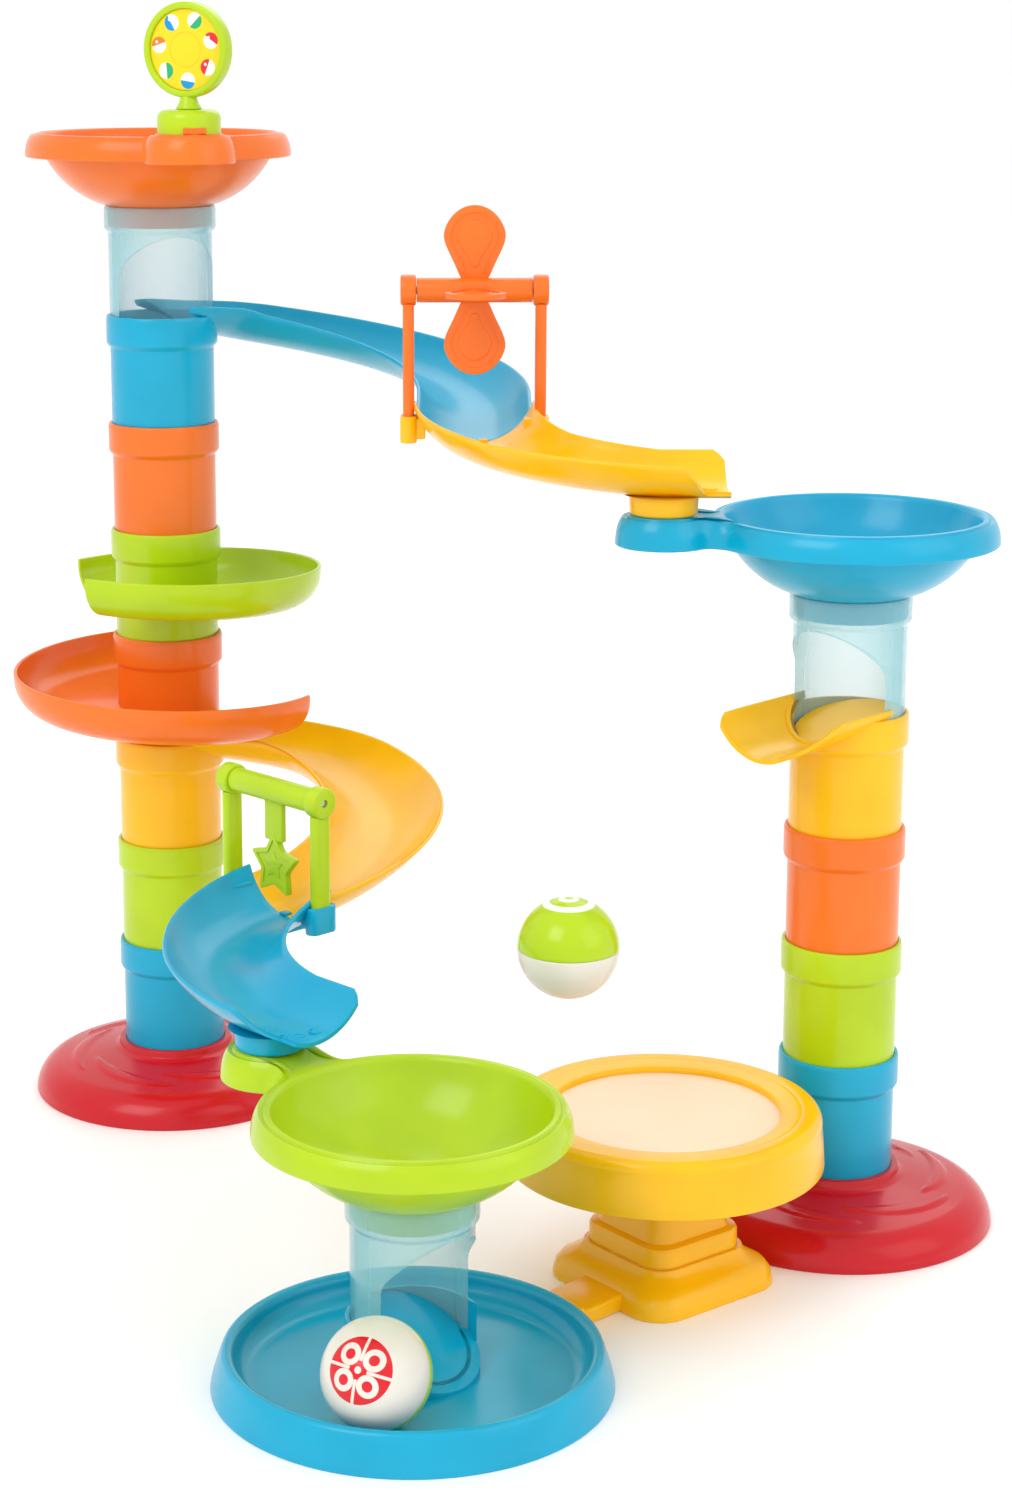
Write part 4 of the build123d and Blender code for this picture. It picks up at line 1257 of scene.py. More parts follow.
@dataclass
class Extension:
    """Loose chute that hangs on a gate at its mouth and stands on a peg."""

    shop: Workshop
    mouth: Triple
    floor: float
    turn_radius: float = 95.0
    tail: float = 33.0
    drop: float = 12.0
    depth: float = TROUGH_DEPTH
    mouth_rise: float = 4.6
    half_width: float = TROUGH_HALF_WIDTH
    near_rim: float = 2.6
    peg_radius: float = 17.65
    peg_height: float = 8.3
    cup_place: float = 35.0
    cup_top: float = 16.0

    def path(self) -> Path:
        """Its plan path: a quarter turn to the left and a short straight."""
        x, y, heading = self.mouth
        return Path((x, y), heading, [bend(self.turn_radius, 90.0), Leg(self.tail)])

    def build(self, colour: Hue, node: str) -> None:
        """Build the chute, its peg, its cups, its tabs and the rings by its lip.

        Args:
            colour: its colour.
            node: the node that it stands for.
        """
        path, shop, word = self.path(), self.shop, colour.name.lower()
        turn_length, end = path.legs[0].length, path.length

        def floor(distance: float) -> float:
            """Height of the floor."""
            return self.floor - self.drop * min(1.0, distance / turn_length)

        def rims(distance: float) -> Pair:
            """Rim heights on the left and on the right."""
            high = self.depth + self.mouth_rise * max(0.0, 1 - distance / (turn_length / 2))
            near = blend(high, self.near_rim, ease((distance - (end - 27.0)) / 16.0))
            far = high - 5.0 * ease((distance - (end - 7.0)) / 7.0) ** 2
            return far, near

        gutter = Gutter(path, 0.0, end, floor, lambda _: (self.half_width,) * 2, rims, self.depth)
        shop.piece(f"{word}_extension_trough", gutter.mesh(), colour, nodes=[node])
        peg_x, peg_y, _ = path.at(turn_length)
        peg_place = upright((peg_x, peg_y), floor(turn_length) - 0.2)
        shop.piece(f"{word}_extension_peg", self.peg(), colour, nodes=[node], place=peg_place)
        x, y, heading = self.mouth
        cups_place = upright((x, y), self.floor, heading)
        shop.piece(f"{word}_extension_cups", self.cups(), colour, nodes=[node], place=cups_place)
        rings = []
        for index, size in enumerate((3.6, 3.0, 2.4)):
            left = 8.0 - 8.5 * index
            spot = path.point(end - 9.0 - 2.5 * index, left, 0.0)
            ring = turned(
                [(size - 0.9, -0.8), (size, -0.8), (size, 0.3, 0.2), (size - 0.9, 0.3, 0.2)], 28
            )
            rings.append(placed(ring, upright(spot.xy, floor(end) + 0.1 + left**2 / 66.0)))
        shop.piece(f"{word}_extension_rings", joined(rings), colour, nodes=[node])

    def peg(self) -> BMesh:
        """Stepped peg that stands in a bowl's lug; its top is pressed flat under the trough.

        Returns:
            The peg.
        """
        low, radius = -2.0 - self.peg_height, self.peg_radius
        peg = turned(
            [
                (0, low - 5.5), (PLUG_RADIUS, low - 5.5, 0.6), (PLUG_RADIUS, low),
                (radius - 0.4, low, 1.2), (radius, -1.0), (radius + 3.0, 1.6), (0, 1.6)
            ]
        )
        for vert in peg.verts:
            if vert.co.z > 1.0:
                vert.co.z = 0.0
        return peg

    def cups(self) -> BMesh:
        """Cups under the posts, tabs over the lip of the chute before it and a tongue below.

        Returns:
            The cups, tabs and tongue in one mesh.
        """
        parts = []
        for side in (-1, 1):
            shift = Matrix.Translation((GATE_SETBACK, side * self.cup_place, 0))
            parts.append(soften(placed(bar(9.0, 18.0, 2.0, self.cup_top), shift), 0.5))
            middle = (GATE_SETBACK, side * (self.cup_place - 5.4), 9.4)
            parts.append(block((12.0, 7.0, 11.0), middle, 0.8))
        for index in range(4):
            side = index - 1.5
            parts.append(block((5.0, 5.2, 1.6), (-1.6, side * 9.6, 0.9 + 0.35 * side**2), 0.5))
        parts.append(block((16.0, 12.0, 3.6), (-1.0, 0.0, -4.4), 0.8))
        parts.append(block((3.0, 12.0, 5.0), (-8.4, 0.0, -4.6), 0.8))
        return joined(parts)


@dataclass
class Spiral:
    """Gutter that falls round a module."""

    radius: float = 90.0
    span: float = 247.0
    depth: float = 24.0
    corner: float = 20.0
    start_drop: float = 15.0
    end_drop: float = 31.0
    wall: float = WALL
    root: float = 28.5

    def mesh(self, pitch: float, azimuth: float) -> BMesh:
        """Spin the section down round the tower.

        Args:
            pitch: height of a module.
            azimuth: where the gutter starts, in degrees.

        Returns:
            The gutter.
        """
        deep, flat, bow = -self.depth, self.radius - self.corner, sqrt(0.5)
        inner = self.corner - self.wall
        outer_curve = arc(
            (flat, deep), (flat + self.corner * bow, deep + self.corner * (1 - bow)),
            (self.radius, deep + self.corner), 12
        )
        inner_curve = arc(
            (self.radius - self.wall, deep + self.corner),
            (flat + inner * bow, deep + self.corner - inner * bow), (flat, deep + self.wall), 12
        )
        profile = [
            (self.root, deep), *outer_curve, (self.radius, -0.2, 0.9),
            (self.radius - self.wall, -0.2, 0.9), *inner_curve,
            (self.root + 4.0, deep + self.wall), (self.root + 1.4, deep + self.wall + 0.8),
            (self.root, deep + self.wall + 3.0),
        ]
        bm = turned(profile, 110, radians(self.span), self.start_drop - self.end_drop)
        soften(bm, 0.8, 60.0)
        return placed(bm, upright((0, 0), pitch - self.start_drop, azimuth))


# ------------------------------------------------------------------ gates and spinner
@dataclass
class Gate:
    """Two posts with an axle between them, over a joint of two chutes."""

    shop: Workshop
    place: Matrix
    axle: float
    colour: Hue
    half_width: float = 35.0
    post: Pair = (6.0, 11.7)
    cap_radius: float = 8.2
    cap_length: float = 8.3
    hub_radius: float = 6.5
    blades: int = 4
    blade_middle: float = 24.6
    blade_half_length: float = 20.0
    blade_half_width: float = 17.0
    star_reach: float = 18.4
    star_drop: float = 40.5

    def along_axle(self, bm: BMesh, left: float = 0.0) -> BMesh:
        """Turn a mesh from Z onto the axle."""
        return placed(
            bm, Matrix.Translation((0, left, self.axle)) @ Matrix.Rotation(radians(-90), 4, "X")
        )

    def posts(self, word: str) -> None:
        """Build both posts with their caps, and the pin.

        Args:
            word: first word of the pieces' names.
        """
        half, r = self.cap_length / 2, self.cap_radius
        for side, name in ((-1, "right"), (1, "left")):
            cap = turned([(PIN_BORE, -half), (r, -half, 1.3), (r, half, 1.3), (PIN_BORE, half)], 48)
            cap = self.along_axle(cap, side * self.half_width)
            post = bar(*self.post, 4.4, self.axle - r + 1.2, 0.7)
            post = placed(post, Matrix.Translation((0, side * self.half_width, 0)))
            self.shop.piece(
                f"{word}_gate_post_{name}", joined([cap, post]), self.colour,
                nodes=[f"{word}_post_{name}"], place=self.place,
            )
        end, radius = self.half_width + 2.9, 2.0
        pin = turned([(0, -end), (radius, -end, 0.3), (radius, end, 0.3), (0, end)], 24)
        self.shop.piece(
            f"{word}_gate_pin", self.along_axle(pin), self.shop.steel, "steel",
            nodes=[f"{word}_axle"], place=self.place
        )

    def hub(self) -> BMesh:
        """Tube that turns on the pin."""
        half, r = self.half_width - self.cap_length / 2 - 0.3, self.hub_radius
        return self.along_axle(
            turned([(PIN_BORE, -half), (r, -half, 0.5), (r, half, 0.5), (PIN_BORE, half)], 48)
        )

    def pear(self, inset: float) -> list[Pair]:
        """Outline of a blade, drawn in by an inset.

        Args:
            inset: how far inside the blade's edge the outline runs.

        Returns:
            Its corners as (across, out from the axle).
        """
        ring, steps, middle, half_length = [], 56, self.blade_middle, self.blade_half_length
        for step in range(steps):
            a = FULL_TURN * (step + 0.5) / steps
            z = middle + half_length * cos(a)
            width = self.blade_half_width * (0.62 + 0.38 * ease((z - 8.0) / 24.0)) - inset
            swell = abs(sin(a)) ** (1.0 if z > middle else 0.45)
            across = copysign(width * swell, sin(a))
            ring.append((across, middle + (half_length - inset) * cos(a)))
        return ring

    def paddle(self) -> BMesh:
        """Wheel with pear-shaped blades, each with a raised outline.

        Returns:
            The wheel.
        """
        parts = [self.hub()]
        for index in range(self.blades):
            blade = framed(
                plate(self.pear(0.0), 3.0, 0.0, 0.6), plate(self.pear(3.6), 1.2, 0.0, 0.0)
            )
            islet = plate(self.pear(7.4), 2.6, 0.0, 0.5)
            turn = Matrix.Translation((0, 0, self.axle)) @ Matrix.Rotation(
                FULL_TURN * index / self.blades, 4, "Y"
            )
            parts.append(placed(joined([blade, islet]), turn))
        return joined(parts)

    def flap(self) -> BMesh:
        """Hanging arm with a star that has raised outlines.

        Returns:
            The hub, arm and star in one mesh.
        """

        def star(reach: float) -> list[Pair]:
            """Corners of a star with a given reach.

            Args:
                reach: radius of its points.

            Returns:
                The corners.
            """
            corners = []
            for index in range(10):
                radius, angle = reach * (0.55 if index % 2 else 1.0), radians(90 + 36 * index)
                corners.append((radius * cos(angle), radius * sin(angle) - self.star_drop))
            return corners

        arm = placed(
            block((3.4, 14.0, 22.0), (0, 0, -16.2), 0.9), Matrix.Translation((0, 0, self.axle))
        )
        figure = framed(
            plate(star(self.star_reach), 4.0, 1.6, 0.4),
            plate(star(self.star_reach - 4.2), 1.4, 1.0, 0.0)
        )
        figure = placed(
            joined([figure, plate(star(7.6), 3.6, 0.6, 0.3)]), Matrix.Translation((0, 0, self.axle))
        )
        return joined([self.hub(), arm, figure])


@dataclass
class Spinner:
    """Block on the top bowl's lug with a turning ring and printed discs."""

    shop: Workshop
    lug: Pair
    lug_top: float
    lug_azimuth: float = LEFT_LUG
    face_azimuth: float = -115.0
    base_radius: float = 17.0
    base_height: float = 12.5
    ring_radius: float = 25.0
    ring_width: float = 3.6
    ring_thickness: float = 9.0

    def build(self) -> None:
        """Build the block, the ring and both discs."""
        r, h = self.base_radius, self.base_height
        base = turned(
            [
                (0, -5.9), (PLUG_RADIUS, -5.9, 0.6), (PLUG_RADIUS, 0), (r, 0), (r, h, 4.6),
                (7.6, h), (7.6, h + 0.15), (0, h + 0.15)
            ]
        )
        self.shop.piece(
            "spinner_block", base, Hue.LIME, nodes=["spinner_base"],
            place=upright(self.lug, self.lug_top)
        )
        tab = block((3.0, 12.4, 3.4), (r - 1.2, 0, 1.75), 0.5)
        self.shop.piece(
            "spinner_stop_tab", tab, Hue.ORANGE,
            place=upright(self.lug, self.lug_top, self.lug_azimuth)
        )
        hub = h + 0.3
        centre_z = hub + 8.0 + self.ring_radius - 2.0
        inner, half = self.ring_radius - self.ring_width, self.ring_thickness / 2
        ring = turned(
            [
                (inner, -half, 1.0), (self.ring_radius, -half, 1.4), (self.ring_radius, half, 1.4),
                (inner, half, 1.0)
            ],
            128
        )
        web = turned([(0, -0.9), (inner + 0.5, -0.9), (inner + 0.5, 0.9), (0, 0.9)], 96)
        lift = Matrix.Translation((0, 0, centre_z)) @ Matrix.Rotation(radians(90), 4, "Y")
        neck = turned(
            [
                (PIN_BORE, hub), (7.2, hub, 0.8), (5.2, hub + 3.2, 0.6), (3.7, hub + 8.8),
                (PIN_BORE, hub + 8.8)
            ],
            64
        )
        turn = upright(self.lug, self.lug_top, self.face_azimuth)
        parts = joined([placed(ring, lift), placed(web, lift), neck])
        self.shop.piece(
            "spinner_hoop", parts, Hue.LIME, body="spinner", nodes=["spinner_ring"], place=turn
        )
        centre = (turn @ Vector((0, 0, centre_z))) * MM
        print_finish = PrintedDisc(centre, radians(self.face_azimuth)).material()
        for side, name in ((1, "front"), (-1, "back")):
            disc = turned([(0, -0.8), (inner - 0.05, -0.8), (inner - 0.05, 0.8, 0.3), (0, 0.8)], 96)
            flip = Matrix.Rotation(radians(90 * side), 4, "Y")
            disc = placed(disc, Matrix.Translation((side * 1.8, 0, centre_z)) @ flip)
            self.shop.piece(
                f"spinner_disc_{name}", disc, print_finish, "printed_face", "spinner",
                [f"spinner_face_{name}"], turn
            )


# ------------------------------------------------------------------ tray, drum and balls
@dataclass
class Tray:
    """Round tray with a hub that lets the ball roll out."""

    shop: Workshop
    place: Pair
    exit: float = -45.0
    collar_z: float = TRAY_COLLAR

    def build(self) -> None:
        """Build the dish and the hub."""
        dish = turned(
            [
                (95.3, 0.0, 0.8), (94.0, 6.0), (91.4, 14.0),
                *arc((90.2, 17.2), (88.6, 19.0), (86.8, 19.2), 5), (85.4, 18.6),
                *arc((84.0, 16.4), (81.4, 9.6), (76.0, 6.2), 10), (74.0, 6.0), (40.0, 6.0),
                (0, 6.0), (0, 3.8), (76.0, 3.8),
                *arc((78.0, 4.4), (83.0, 8.4), (85.6, 15.0), 6), (88.0, 16.0), (91.4, 0.0),
            ],
            160,
        )
        self.shop.piece(
            "tray_dish", dish, Hue.BLUE, nodes=["catch_tray"], place=upright(self.place)
        )
        low, outer, bore = 5.0, COLLAR_RADIUS, BORE_RADIUS
        seat = self.collar_z - SOCKET_DEPTH
        hub = turned(
            [
                (outer, low), (outer, self.collar_z, 0.8), (SOCKET_RADIUS, self.collar_z, 0.4),
                (SOCKET_RADIUS, seat), (bore - WALL, seat), (bore - WALL, low),
            ]
        )
        high, floor = self.collar_z + 0.5, 7.0

        def slope(x: float) -> float:
            """Height of the ramp at a distance from the hub's middle."""
            return blend(high, floor, (x + bore) / (bore + outer + 1))

        opening = plate([(-33, slope(33)), (0, slope(0)), (0, 60), (-33, 60)], 56.6, 0.0, 0.0)
        hub = carved(hub, opening)
        ramp = plate(
            [(-outer, low), (bore, low), (bore, slope(-bore)), (-outer, slope(outer))], 80.0, 0.0,
            0.0
        )
        core = turned([(0, low), (bore - 0.05, low), (bore - 0.05, 50), (0, 50)], 64)
        ramp = carved(core, ramp, "INTERSECT")
        whole = placed(joined([hub, ramp]), Matrix.Rotation(radians(self.exit + 90), 4, "Z"))
        self.shop.piece(
            "tray_hub", soften(whole, 0.4, 55.0, 2), Hue.BLUE, nodes=["catch_tray"],
            place=upright(self.place)
        )


@dataclass
class Drum:
    """Bounce drum: hoop, skin, pan on a square stem, and a foot with a tongue to the tray."""

    shop: Workshop
    place: Pair
    tray: Pair
    turn: float = 38.0
    skirt: float = 64.3
    crest: float = 92.5
    skin_top: float = 88.0

    def square(self, half: float, corner: float, z: float) -> list[Vector]:
        """Ring of a rounded square.

        Args:
            half: half of its side.
            corner: radius of its corners.
            z: its height.

        Returns:
            The ring's points.
        """
        ring = []
        for index in range(64):
            quarter, step = divmod(index, 16)
            angle = radians(90 * quarter + 90 * step / 15)
            cx = (half - corner) * (1 if quarter in (0, 3) else -1)
            cy = (half - corner) * (1 if quarter in (0, 1) else -1)
            ring.append(Vector((cx + corner * cos(angle), cy + corner * sin(angle), z)))
        return ring

    def build(self) -> None:
        """Build all of the drum's pieces."""
        self.hoop()
        self.pan_and_stem()
        self.foot()

    def hoop(self) -> None:
        """Build the hoop and the skin below it."""
        shop, s, c, m = self.shop, self.skirt, self.crest, self.skin_top
        hoop = turned(
            [
                (80.5, s, 0.6), (80.2, s + 6), (79.6, s + 15),
                *arc((78.9, c - 7), (77.4, c - 1.6), (74.5, c), 8), (70.0, c), (68.6, c - 0.5, 0.3),
                (67.4, c - 0.4, 0.4), (61.0, c - 1.2),
                *arc((59.8, c - 1.5), (58.3, c - 2.4), (58.0, c - 4.0), 5), (58.0, m + 0.02),
                (74.3, m + 0.02), (78.3, s, 0.6),
            ],
            160,
        )
        shop.piece("drum_rim", hoop, Hue.YELLOW, nodes=["drum_hoop"], place=upright(self.place))
        skin = turned([(0, m - 1.2), (66.0, m - 1.2), (66.0, m - 0.02), (0, m - 0.02)], 128)
        shop.piece(
            "drum_skin_sheet", skin, DrumSkin().material(), "drum_skin", nodes=["drum_membrane"],
            place=upright(self.place)
        )

    def pan_and_stem(self) -> None:
        """Build the pan below the skin and its square stem."""
        m, floor = self.skin_top, self.skirt + 4
        pan = turned(
            [
                (0, floor), (66.0, floor), (70.0, floor, 1.2), (70.0, m), (66.05, m),
                (66.05, m - 1.25), (62, m - 1.25), (62, floor + 2.2), (0, floor + 2.2)
            ],
            128
        )
        levels = [
            (30.0, 12.0, 20.1), (30.0, 12.0, 28.6), (29.4, 12.0, 30.0), (28.0, 11.5, 30.6),
            (26.2, 10.5, 31.2), (25.5, 10.0, 33.0), (25.5, 10.0, floor - 4),
            (26.4, 10.6, floor - 1.5), (28.6, 12.4, floor + 0.5)
        ]
        stem = lofted([self.square(*level) for level in levels])
        self.shop.piece(
            "drum_stem", joined([pan, placed(stem, Matrix.Rotation(radians(self.turn), 4, "Z"))]),
            Hue.YELLOW, nodes=["drum_pan", "drum_screws"], place=upright(self.place),
        )

    def foot(self) -> None:
        """Build the flared foot and the tongue that reaches to the tray."""
        shop = self.shop
        levels = [
            (41.8, 15.8, 0.0), (44.4, 18.0, 0.0), (45.0, 18.4, 0.6), (44.8, 18.2, 3.0),
            (43.6, 17.6, 8.0), (41.4, 17.0, 11.4), (38.2, 16.0, 13.4), (35.0, 14.6, 15.4),
            (32.8, 13.6, 18.0), (32.0, 13.0, 20.0)
        ]
        hollow = [(30.0, 11.6, 20.0), (30.0, 11.4, 15.0), (39.0, 15.0, 8.0)]
        foot = lofted([self.square(*level) for level in levels + hollow], capped=False)
        shop.piece(
            "drum_stand", foot, Hue.YELLOW, nodes=["drum_foot"],
            place=upright(self.place, 0, self.turn)
        )
        gap = Vector(self.tray) - Vector(self.place)
        reach = gap.length
        edge = reach - 93.4
        tongue = block((edge - 38.0, 30.0, 9.0), ((edge + 38.0) / 2, 0, 4.6), 2.0)
        bead = block((5.0, 34.0, 12.0), (edge - 4.0, 0, 6.1), 2.0)
        azimuth = degrees(atan2(gap.y, gap.x))
        shop.piece(
            "drum_tongue", joined([tongue, bead]), Hue.YELLOW, nodes=["drum_foot"],
            place=upright(self.place, 0, azimuth)
        )


@dataclass
class Ball:
    """Hollow ball of two halves."""

    shop: Workshop
    centre: Vector
    pole: Vector
    name: str
    radius: float = 25.5

    def half(self, up: bool) -> Matrix:
        """Placement of one half."""
        axis = self.pole if up else -self.pole
        return Matrix.Translation(
            self.centre / MM
        ) @ axis.to_track_quat("Z", "Y").to_matrix().to_4x4()

    def build(
        self, up: tuple[Hue, str, str], down: tuple[Hue, str, str], ink: Triple,
        flower: bool
    ) -> None:
        """Build both halves.

        Args:
            up: colour, slot and node of the half with the print.
            down: colour, slot and node of the plain half.
            ink: colour of the print.
            flower: whether the print is a flower or a ring.
        """
        inner = self.radius - WALL
        for raised, (hue, slot, node) in ((True, up), (False, down)):
            shell = [(inner, 0.05), (self.radius - 0.5, 0.05), (self.radius - 0.02, 0.6)]
            dome = arc(
                (self.radius, 0.9), (self.radius * 0.7071, self.radius * 0.7071),
                (0.0, self.radius), 26
            )
            inside = arc((0.0, inner), (inner * 0.7071, inner * 0.7071), (inner, 0.05), 14)
            bm = turned([*shell, *dome, *inside[:-1]], 96)
            finish: Hue | Material = hue
            if raised:
                finish = PrintedBall(
                    hue, self.centre, self.pole, ink, flower
                ).material(f"{self.name}_print")
            self.shop.piece(f"{node}_shell", bm, finish, slot, self.name, [node], self.half(raised))


# ------------------------------------------------------------------ the whole toy
@dataclass
class MarbleRun:
    """The toy, piece by piece, on the frame's places."""

    shop: Workshop
    stack: Stack = field(init=False)

    def __post_init__(self) -> None:
        """Set the shared stack sizes."""
        self.stack = Stack()

    @staticmethod
    def middle(node: str) -> Pair:
        """Plan centre of a round node, in millimetres."""
        low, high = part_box(node)
        return (low.x + high.x) / 2 / MM, (low.y + high.y) / 2 / MM

    @staticmethod
    def centre(first: str, second: str) -> Vector:
        """Centre of a ball made of two nodes, in metres."""
        boxes = [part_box(first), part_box(second)]
        low = Vector([min(b[0][i] for b in boxes) for i in range(3)])
        high = Vector([max(b[1][i] for b in boxes) for i in range(3)])
        return (low + high) / 2

    def tubes(self, place: Pair, rows: Sequence[tuple[int, Hue, str]]) -> None:
        """Build plain tubes.

        Args:
            place: the tower's plan centre.
            rows: level, colour and node of each tube.
        """
        for level, colour, node in rows:
            at = upright(place, self.stack.level(level))
            self.shop.piece(f"{node}_body", self.stack.plain_tube(), colour, nodes=[node], place=at)

    def window(self, place: Pair, z: float, azimuth: float, node: str) -> None:
        """Build a clear window tube at a place and height, its arch at an azimuth."""
        bm, at = self.stack.window(azimuth), upright(place, z)
        self.shop.piece(
            f"{node}_shell", bm, self.shop.clear, "clear_plastic", nodes=[node], place=at
        )

    def chute(
        self, path: Path, level: int, gate_floor: float, colour: Hue, node: str,
        bulge: Pair
    ) -> None:
        """Build a tower module with its chute.

        Args:
            path: the chute's plan path from the tower's axis.
            level: the module's level.
            gate_floor: floor height at the gate.
            colour: its colour.
            node: the node that it stands for.
            bulge: swelling of the outer and inner rim.
        """
        stack = self.stack
        module = ChuteModule(path, stack.level(level + 1), gate_floor, *bulge)
        self.shop.piece(f"{node}_trough", module.gutter().mesh(), colour, nodes=[node])
        at = upright(path.start, stack.level(level))
        self.shop.piece(f"{node}_tube", stack.plain_tube(), colour, nodes=[node], place=at)

    def build(self) -> None:
        """Build every piece."""
        stack = self.stack
        left, right = self.middle("left_base"), self.middle("right_base")
        tray, drum = self.middle("catch_tray"), self.middle("drum_hoop")
        for place, node in ((left, "left_base"), (right, "right_base")):
            self.shop.piece(
                f"{node}_dish", stack.base(), Hue.RED, nodes=[node], place=upright(place)
            )
        lower_tubes = ((0, Hue.BLUE, "blue"), (1, Hue.LIME, "green"))
        for place, side, level in ((left, "left", 5), (right, "right", 2)):
            rows = (*lower_tubes, (level, Hue.ORANGE, "orange"))
            self.tubes(place, [(row, hue, f"{side}_tube_{word}") for row, hue, word in rows])
        self.chutes(left)
        bowls = (
            (left, stack.level(8), LEFT_LUG, Hue.ORANGE, "left_bowl"),
            (right, stack.level(5), 190.0, Hue.BLUE, "right_bowl"),
            (tray, TRAY_COLLAR + PITCH, 134.0, Hue.LIME, "green_bowl"),
        )
        for place, z, turn, colour, node in bowls:
            at = upright(place, z)
            self.shop.piece(f"{node}_dish", Bowl().mesh(turn), colour, nodes=[node], place=at)
        self.window(left, stack.level(7), -65.0, "left_window_tube")
        self.window(right, stack.level(4), 227.5, "right_window_tube")
        self.window(tray, TRAY_COLLAR, -45.5, "tray_window_tube")
        self.spout(right)
        turn = radians(LEFT_LUG)
        spot = (left[0] + LUG_REACH * cos(turn), left[1] + LUG_REACH * sin(turn))
        Spinner(self.shop, spot, stack.level(8) + LUG_TOP).build()
        Tray(self.shop, tray).build()
        Drum(self.shop, drum, tray).build()
        self.balls()

    def chutes(self, left: Pair) -> None:
        """Build the left tower's chutes and spirals, the extension chutes and the gates.

        Args:
            left: plan centre of the left tower.
        """
        stack, shop = self.stack, self.shop
        upper = Path(
            left, UPPER_HEADING, [Leg(36.0), bend(50.0, -34.0), bend(117.0, -92.0), Leg(33.8)]
        )
        lower = Path(left, 1.5, [Leg(54.0), bend(50.0, -56.0), bend(134.0, -81.5)])
        upper_floor, lower_floor = 405.5, 163.2
        self.chute(lower, 2, lower_floor, Hue.YELLOW, "yellow_curve_module", (10.0, -5.0))
        node = "blue_chute_module"
        self.chute(upper, 6, upper_floor, Hue.BLUE, node, (0.0, 0.0))
        plug, at = stack.deflector(UPPER_HEADING, 13.5), upright(left, stack.level(6))
        shop.piece(f"{node}_plug", plug, Hue.BLUE, nodes=[node], place=at)

        for level, azimuth, colour, node in (
            (3, 93.0, Hue.ORANGE, "orange_spiral_module"),
            (4, -115.0, Hue.LIME, "green_spiral_module"),
        ):
            at = upright(left, stack.level(level))
            gutter = Spiral().mesh(PITCH, azimuth)
            shop.piece(f"{node}_tube", stack.plain_tube(), colour, nodes=[node], place=at)
            shop.piece(f"{node}_gutter", gutter, colour, nodes=[node], place=at)

        for path, floor, colour, node in (
            (upper, upper_floor, Hue.YELLOW, "yellow_extension_chute"),
            (lower, lower_floor, Hue.BLUE, "blue_extension_chute"),
        ):
            x, y, heading = path.at(path.length)
            Extension(shop, (x, y, degrees(heading)), floor).build(colour, node)

        for word, path, floor, axle, colour in (
            ("paddle", upper, upper_floor, 82.5, Hue.ORANGE),
            ("star", lower, lower_floor, 71.3, Hue.LIME),
        ):
            x, y, heading = path.at(path.length)
            mouth = upright((x, y), floor, degrees(heading))
            gate = Gate(shop, mouth @ Matrix.Translation((GATE_SETBACK, 0, 0)), axle, colour)
            gate.posts(word)
            if word == "paddle":
                name, body, node, bm = "wheel_blades", "paddle", "paddle_wheel", gate.paddle()
            else:
                name, body, node, bm = "flap_arm", "flap", "star_flap", gate.flap()
            shop.piece(f"{word}_{name}", bm, colour, body=body, nodes=[node], place=gate.place)

    def spout(self, place: Pair) -> None:
        """Build the right tower's spout module.

        Args:
            place: plan centre of the right tower.
        """
        stack, length, half = self.stack, 66.0, TROUGH_HALF_WIDTH
        start = stack.level(4) - EXIT_DROP

        def rims(distance: float) -> Pair:
            """Rim heights on the left, which drops first, and on the right."""
            near = TROUGH_DEPTH - 14.2 * ease((distance - 38.0) / 18.0)
            far = TROUGH_DEPTH - 5.0 * ease((distance - 59.0) / 7.0) ** 2
            return near, far

        gutter = Gutter(
            Path(place, SPOUT_HEADING, [Leg(length)]), 16.0, length,
            lambda distance: start - 4.0 * distance / length, lambda _: (half, half), rims,
            root_radius=TUBE_RADIUS,
        )
        inside = replace(gutter, path=Path((0, 0), SPOUT_HEADING, [Leg(length)]))
        arch = inside.section(0.0)[: 2 * inside.across + 1]
        corners = [(half, 40.0), *arch, (-half, 40.0)]
        tool = lofted(
            [
                [
                    inside.path.point(distance, left, PITCH - EXIT_DROP + height) for left,
                    height in corners
                ]
                for distance in (12.0, 46.0)
            ]
        )
        node, at = "right_spout_module", upright(place, stack.level(3))
        body = soften(carved(stack.plain_tube(), tool), 0.35, 60.0, 2)
        self.shop.piece(f"{node}_tube", body, Hue.YELLOW, nodes=[node], place=at)
        self.shop.piece(f"{node}_trough", gutter.mesh(), Hue.YELLOW, nodes=[node])
        plug = stack.deflector(SPOUT_HEADING, 14.0)
        self.shop.piece(f"{node}_plug", plug, Hue.YELLOW, nodes=[node], place=at)

    def balls(self) -> None:
        """Build the ball in the tray and the ball over the drum."""
        azimuth, tilt = radians(-110.0), radians(62.0)
        flat = sin(tilt)
        pole = Vector((flat * cos(azimuth), flat * sin(azimuth), cos(tilt)))
        tray_ball = Ball(
            self.shop, self.centre("tray_ball_white", "tray_ball_green"), pole, "tray_ball"
        )
        tray_ball.build(
            (Hue.WHITE, "white_plastic", "tray_ball_white"),
            (Hue.LIME, "lime_plastic", "tray_ball_green"), (0.70, 0.01, 0.02), True
        )
        bounce = Ball(
            self.shop, self.centre("bounce_ball_green", "bounce_ball_white"), Vector((0, 0, 1)),
            "bounce_ball"
        )
        bounce.build(
            (Hue.LIME, "lime_plastic", "bounce_ball_green"),
            (Hue.WHITE, "white_plastic", "bounce_ball_white"), (0.86, 0.86, 0.78), False
        )


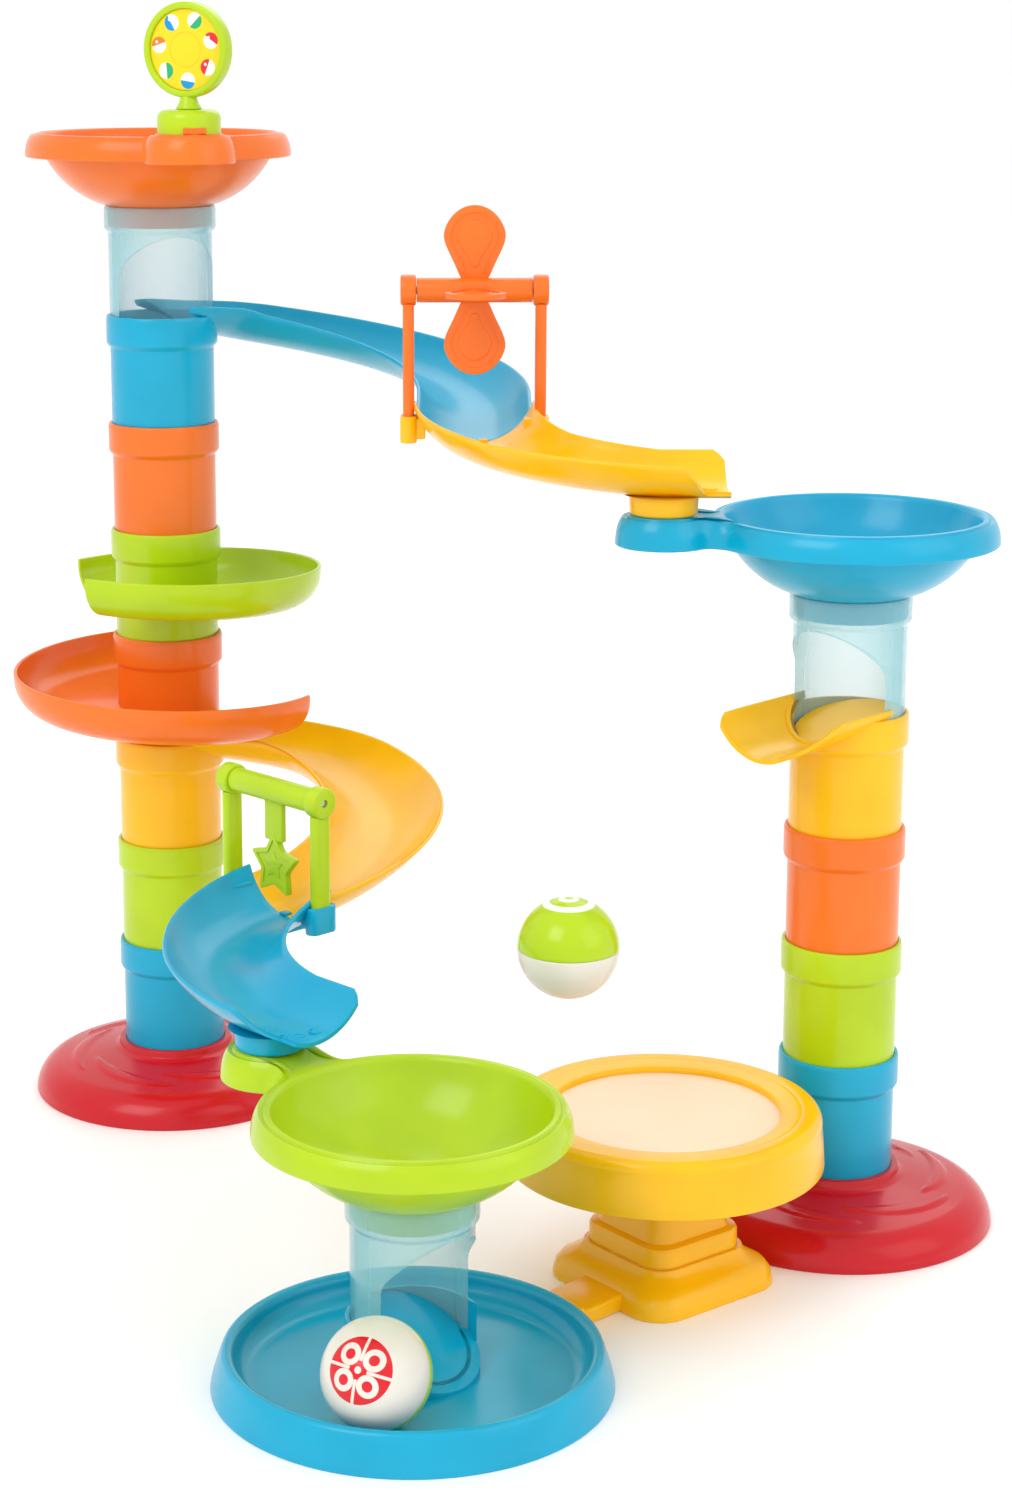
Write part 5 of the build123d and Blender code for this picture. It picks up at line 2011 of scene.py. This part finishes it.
@dataclass
class Studio:
    """Plain pale floor, soft light and the camera."""

    eye: Triple = (-0.01957, -1.48395, 0.6312)
    pitch: float = 11.6
    lens: float = 71.2
    shift: Pair = (0.0404, -0.0853)

    def build(self) -> None:
        """Build the floor, lights and camera."""
        scene = bpy.context.scene
        bm = bmesh.new()
        bmesh.ops.create_grid(bm, x_segments=1, y_segments=1, size=60.0)
        data = bpy.data.meshes.new("floor")
        bm.to_mesh(data)
        bm.free()
        floor = bpy.data.objects.new("floor", data)
        scene.collection.objects.link(floor)
        graph = Graph("floor_paper")
        tone = graph.mixed(graph.noise(3.0), (0.93, 0.93, 0.93), (0.96, 0.96, 0.96))
        data.materials.append(
            graph.surface(
                {
                    "Base Color": tone, "Roughness": 0.6, "Emission Color": (*PLAIN_WHITE, 1.0),
                    "Emission Strength": 0.06
                }
            )
        )
        world = bpy.data.worlds.new("studio")
        world.use_nodes = True
        world.node_tree.nodes["Background"].inputs["Color"].default_value = (*PLAIN_WHITE, 1.0)
        world.node_tree.nodes["Background"].inputs["Strength"].default_value = 1.0
        scene.world = world
        for name, place, energy, size in (
            ("key", (-1.4, -1.7, 2.3), 24.0, 1.6), ("fill", (1.9, -1.2, 1.5), 9.0, 1.8),
            ("rear", (0.3, 1.9, 2.2), 12.0, 2.0),
        ):
            light = bpy.data.lights.new(name, "AREA")
            light.energy, light.size = energy, size
            carrier = bpy.data.objects.new(name, light)
            carrier.location = place
            carrier.rotation_euler = (
                Vector((0, 0, 0.3)) - Vector(place)
            ).to_track_quat("-Z", "Y").to_euler()
            scene.collection.objects.link(carrier)
        camera = bpy.data.cameras.new("camera")
        camera.lens, camera.sensor_width = self.lens, 36.0
        camera.shift_x, camera.shift_y = self.shift
        camera.clip_start, camera.clip_end = 0.05, 200.0
        carrier = bpy.data.objects.new("camera", camera)
        carrier.location = self.eye
        carrier.rotation_euler = (radians(90 - self.pitch), 0, 0)
        scene.collection.objects.link(carrier)
        scene.camera = carrier
        scene.view_settings.view_transform = "Standard"


def main() -> None:
    """Build everything."""
    logging.basicConfig(level=logging.INFO, format="%(name)s: %(message)s")
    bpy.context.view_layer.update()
    MarbleRun(Workshop()).build()
    Studio().build()


if __name__ == "__main__":
    main()
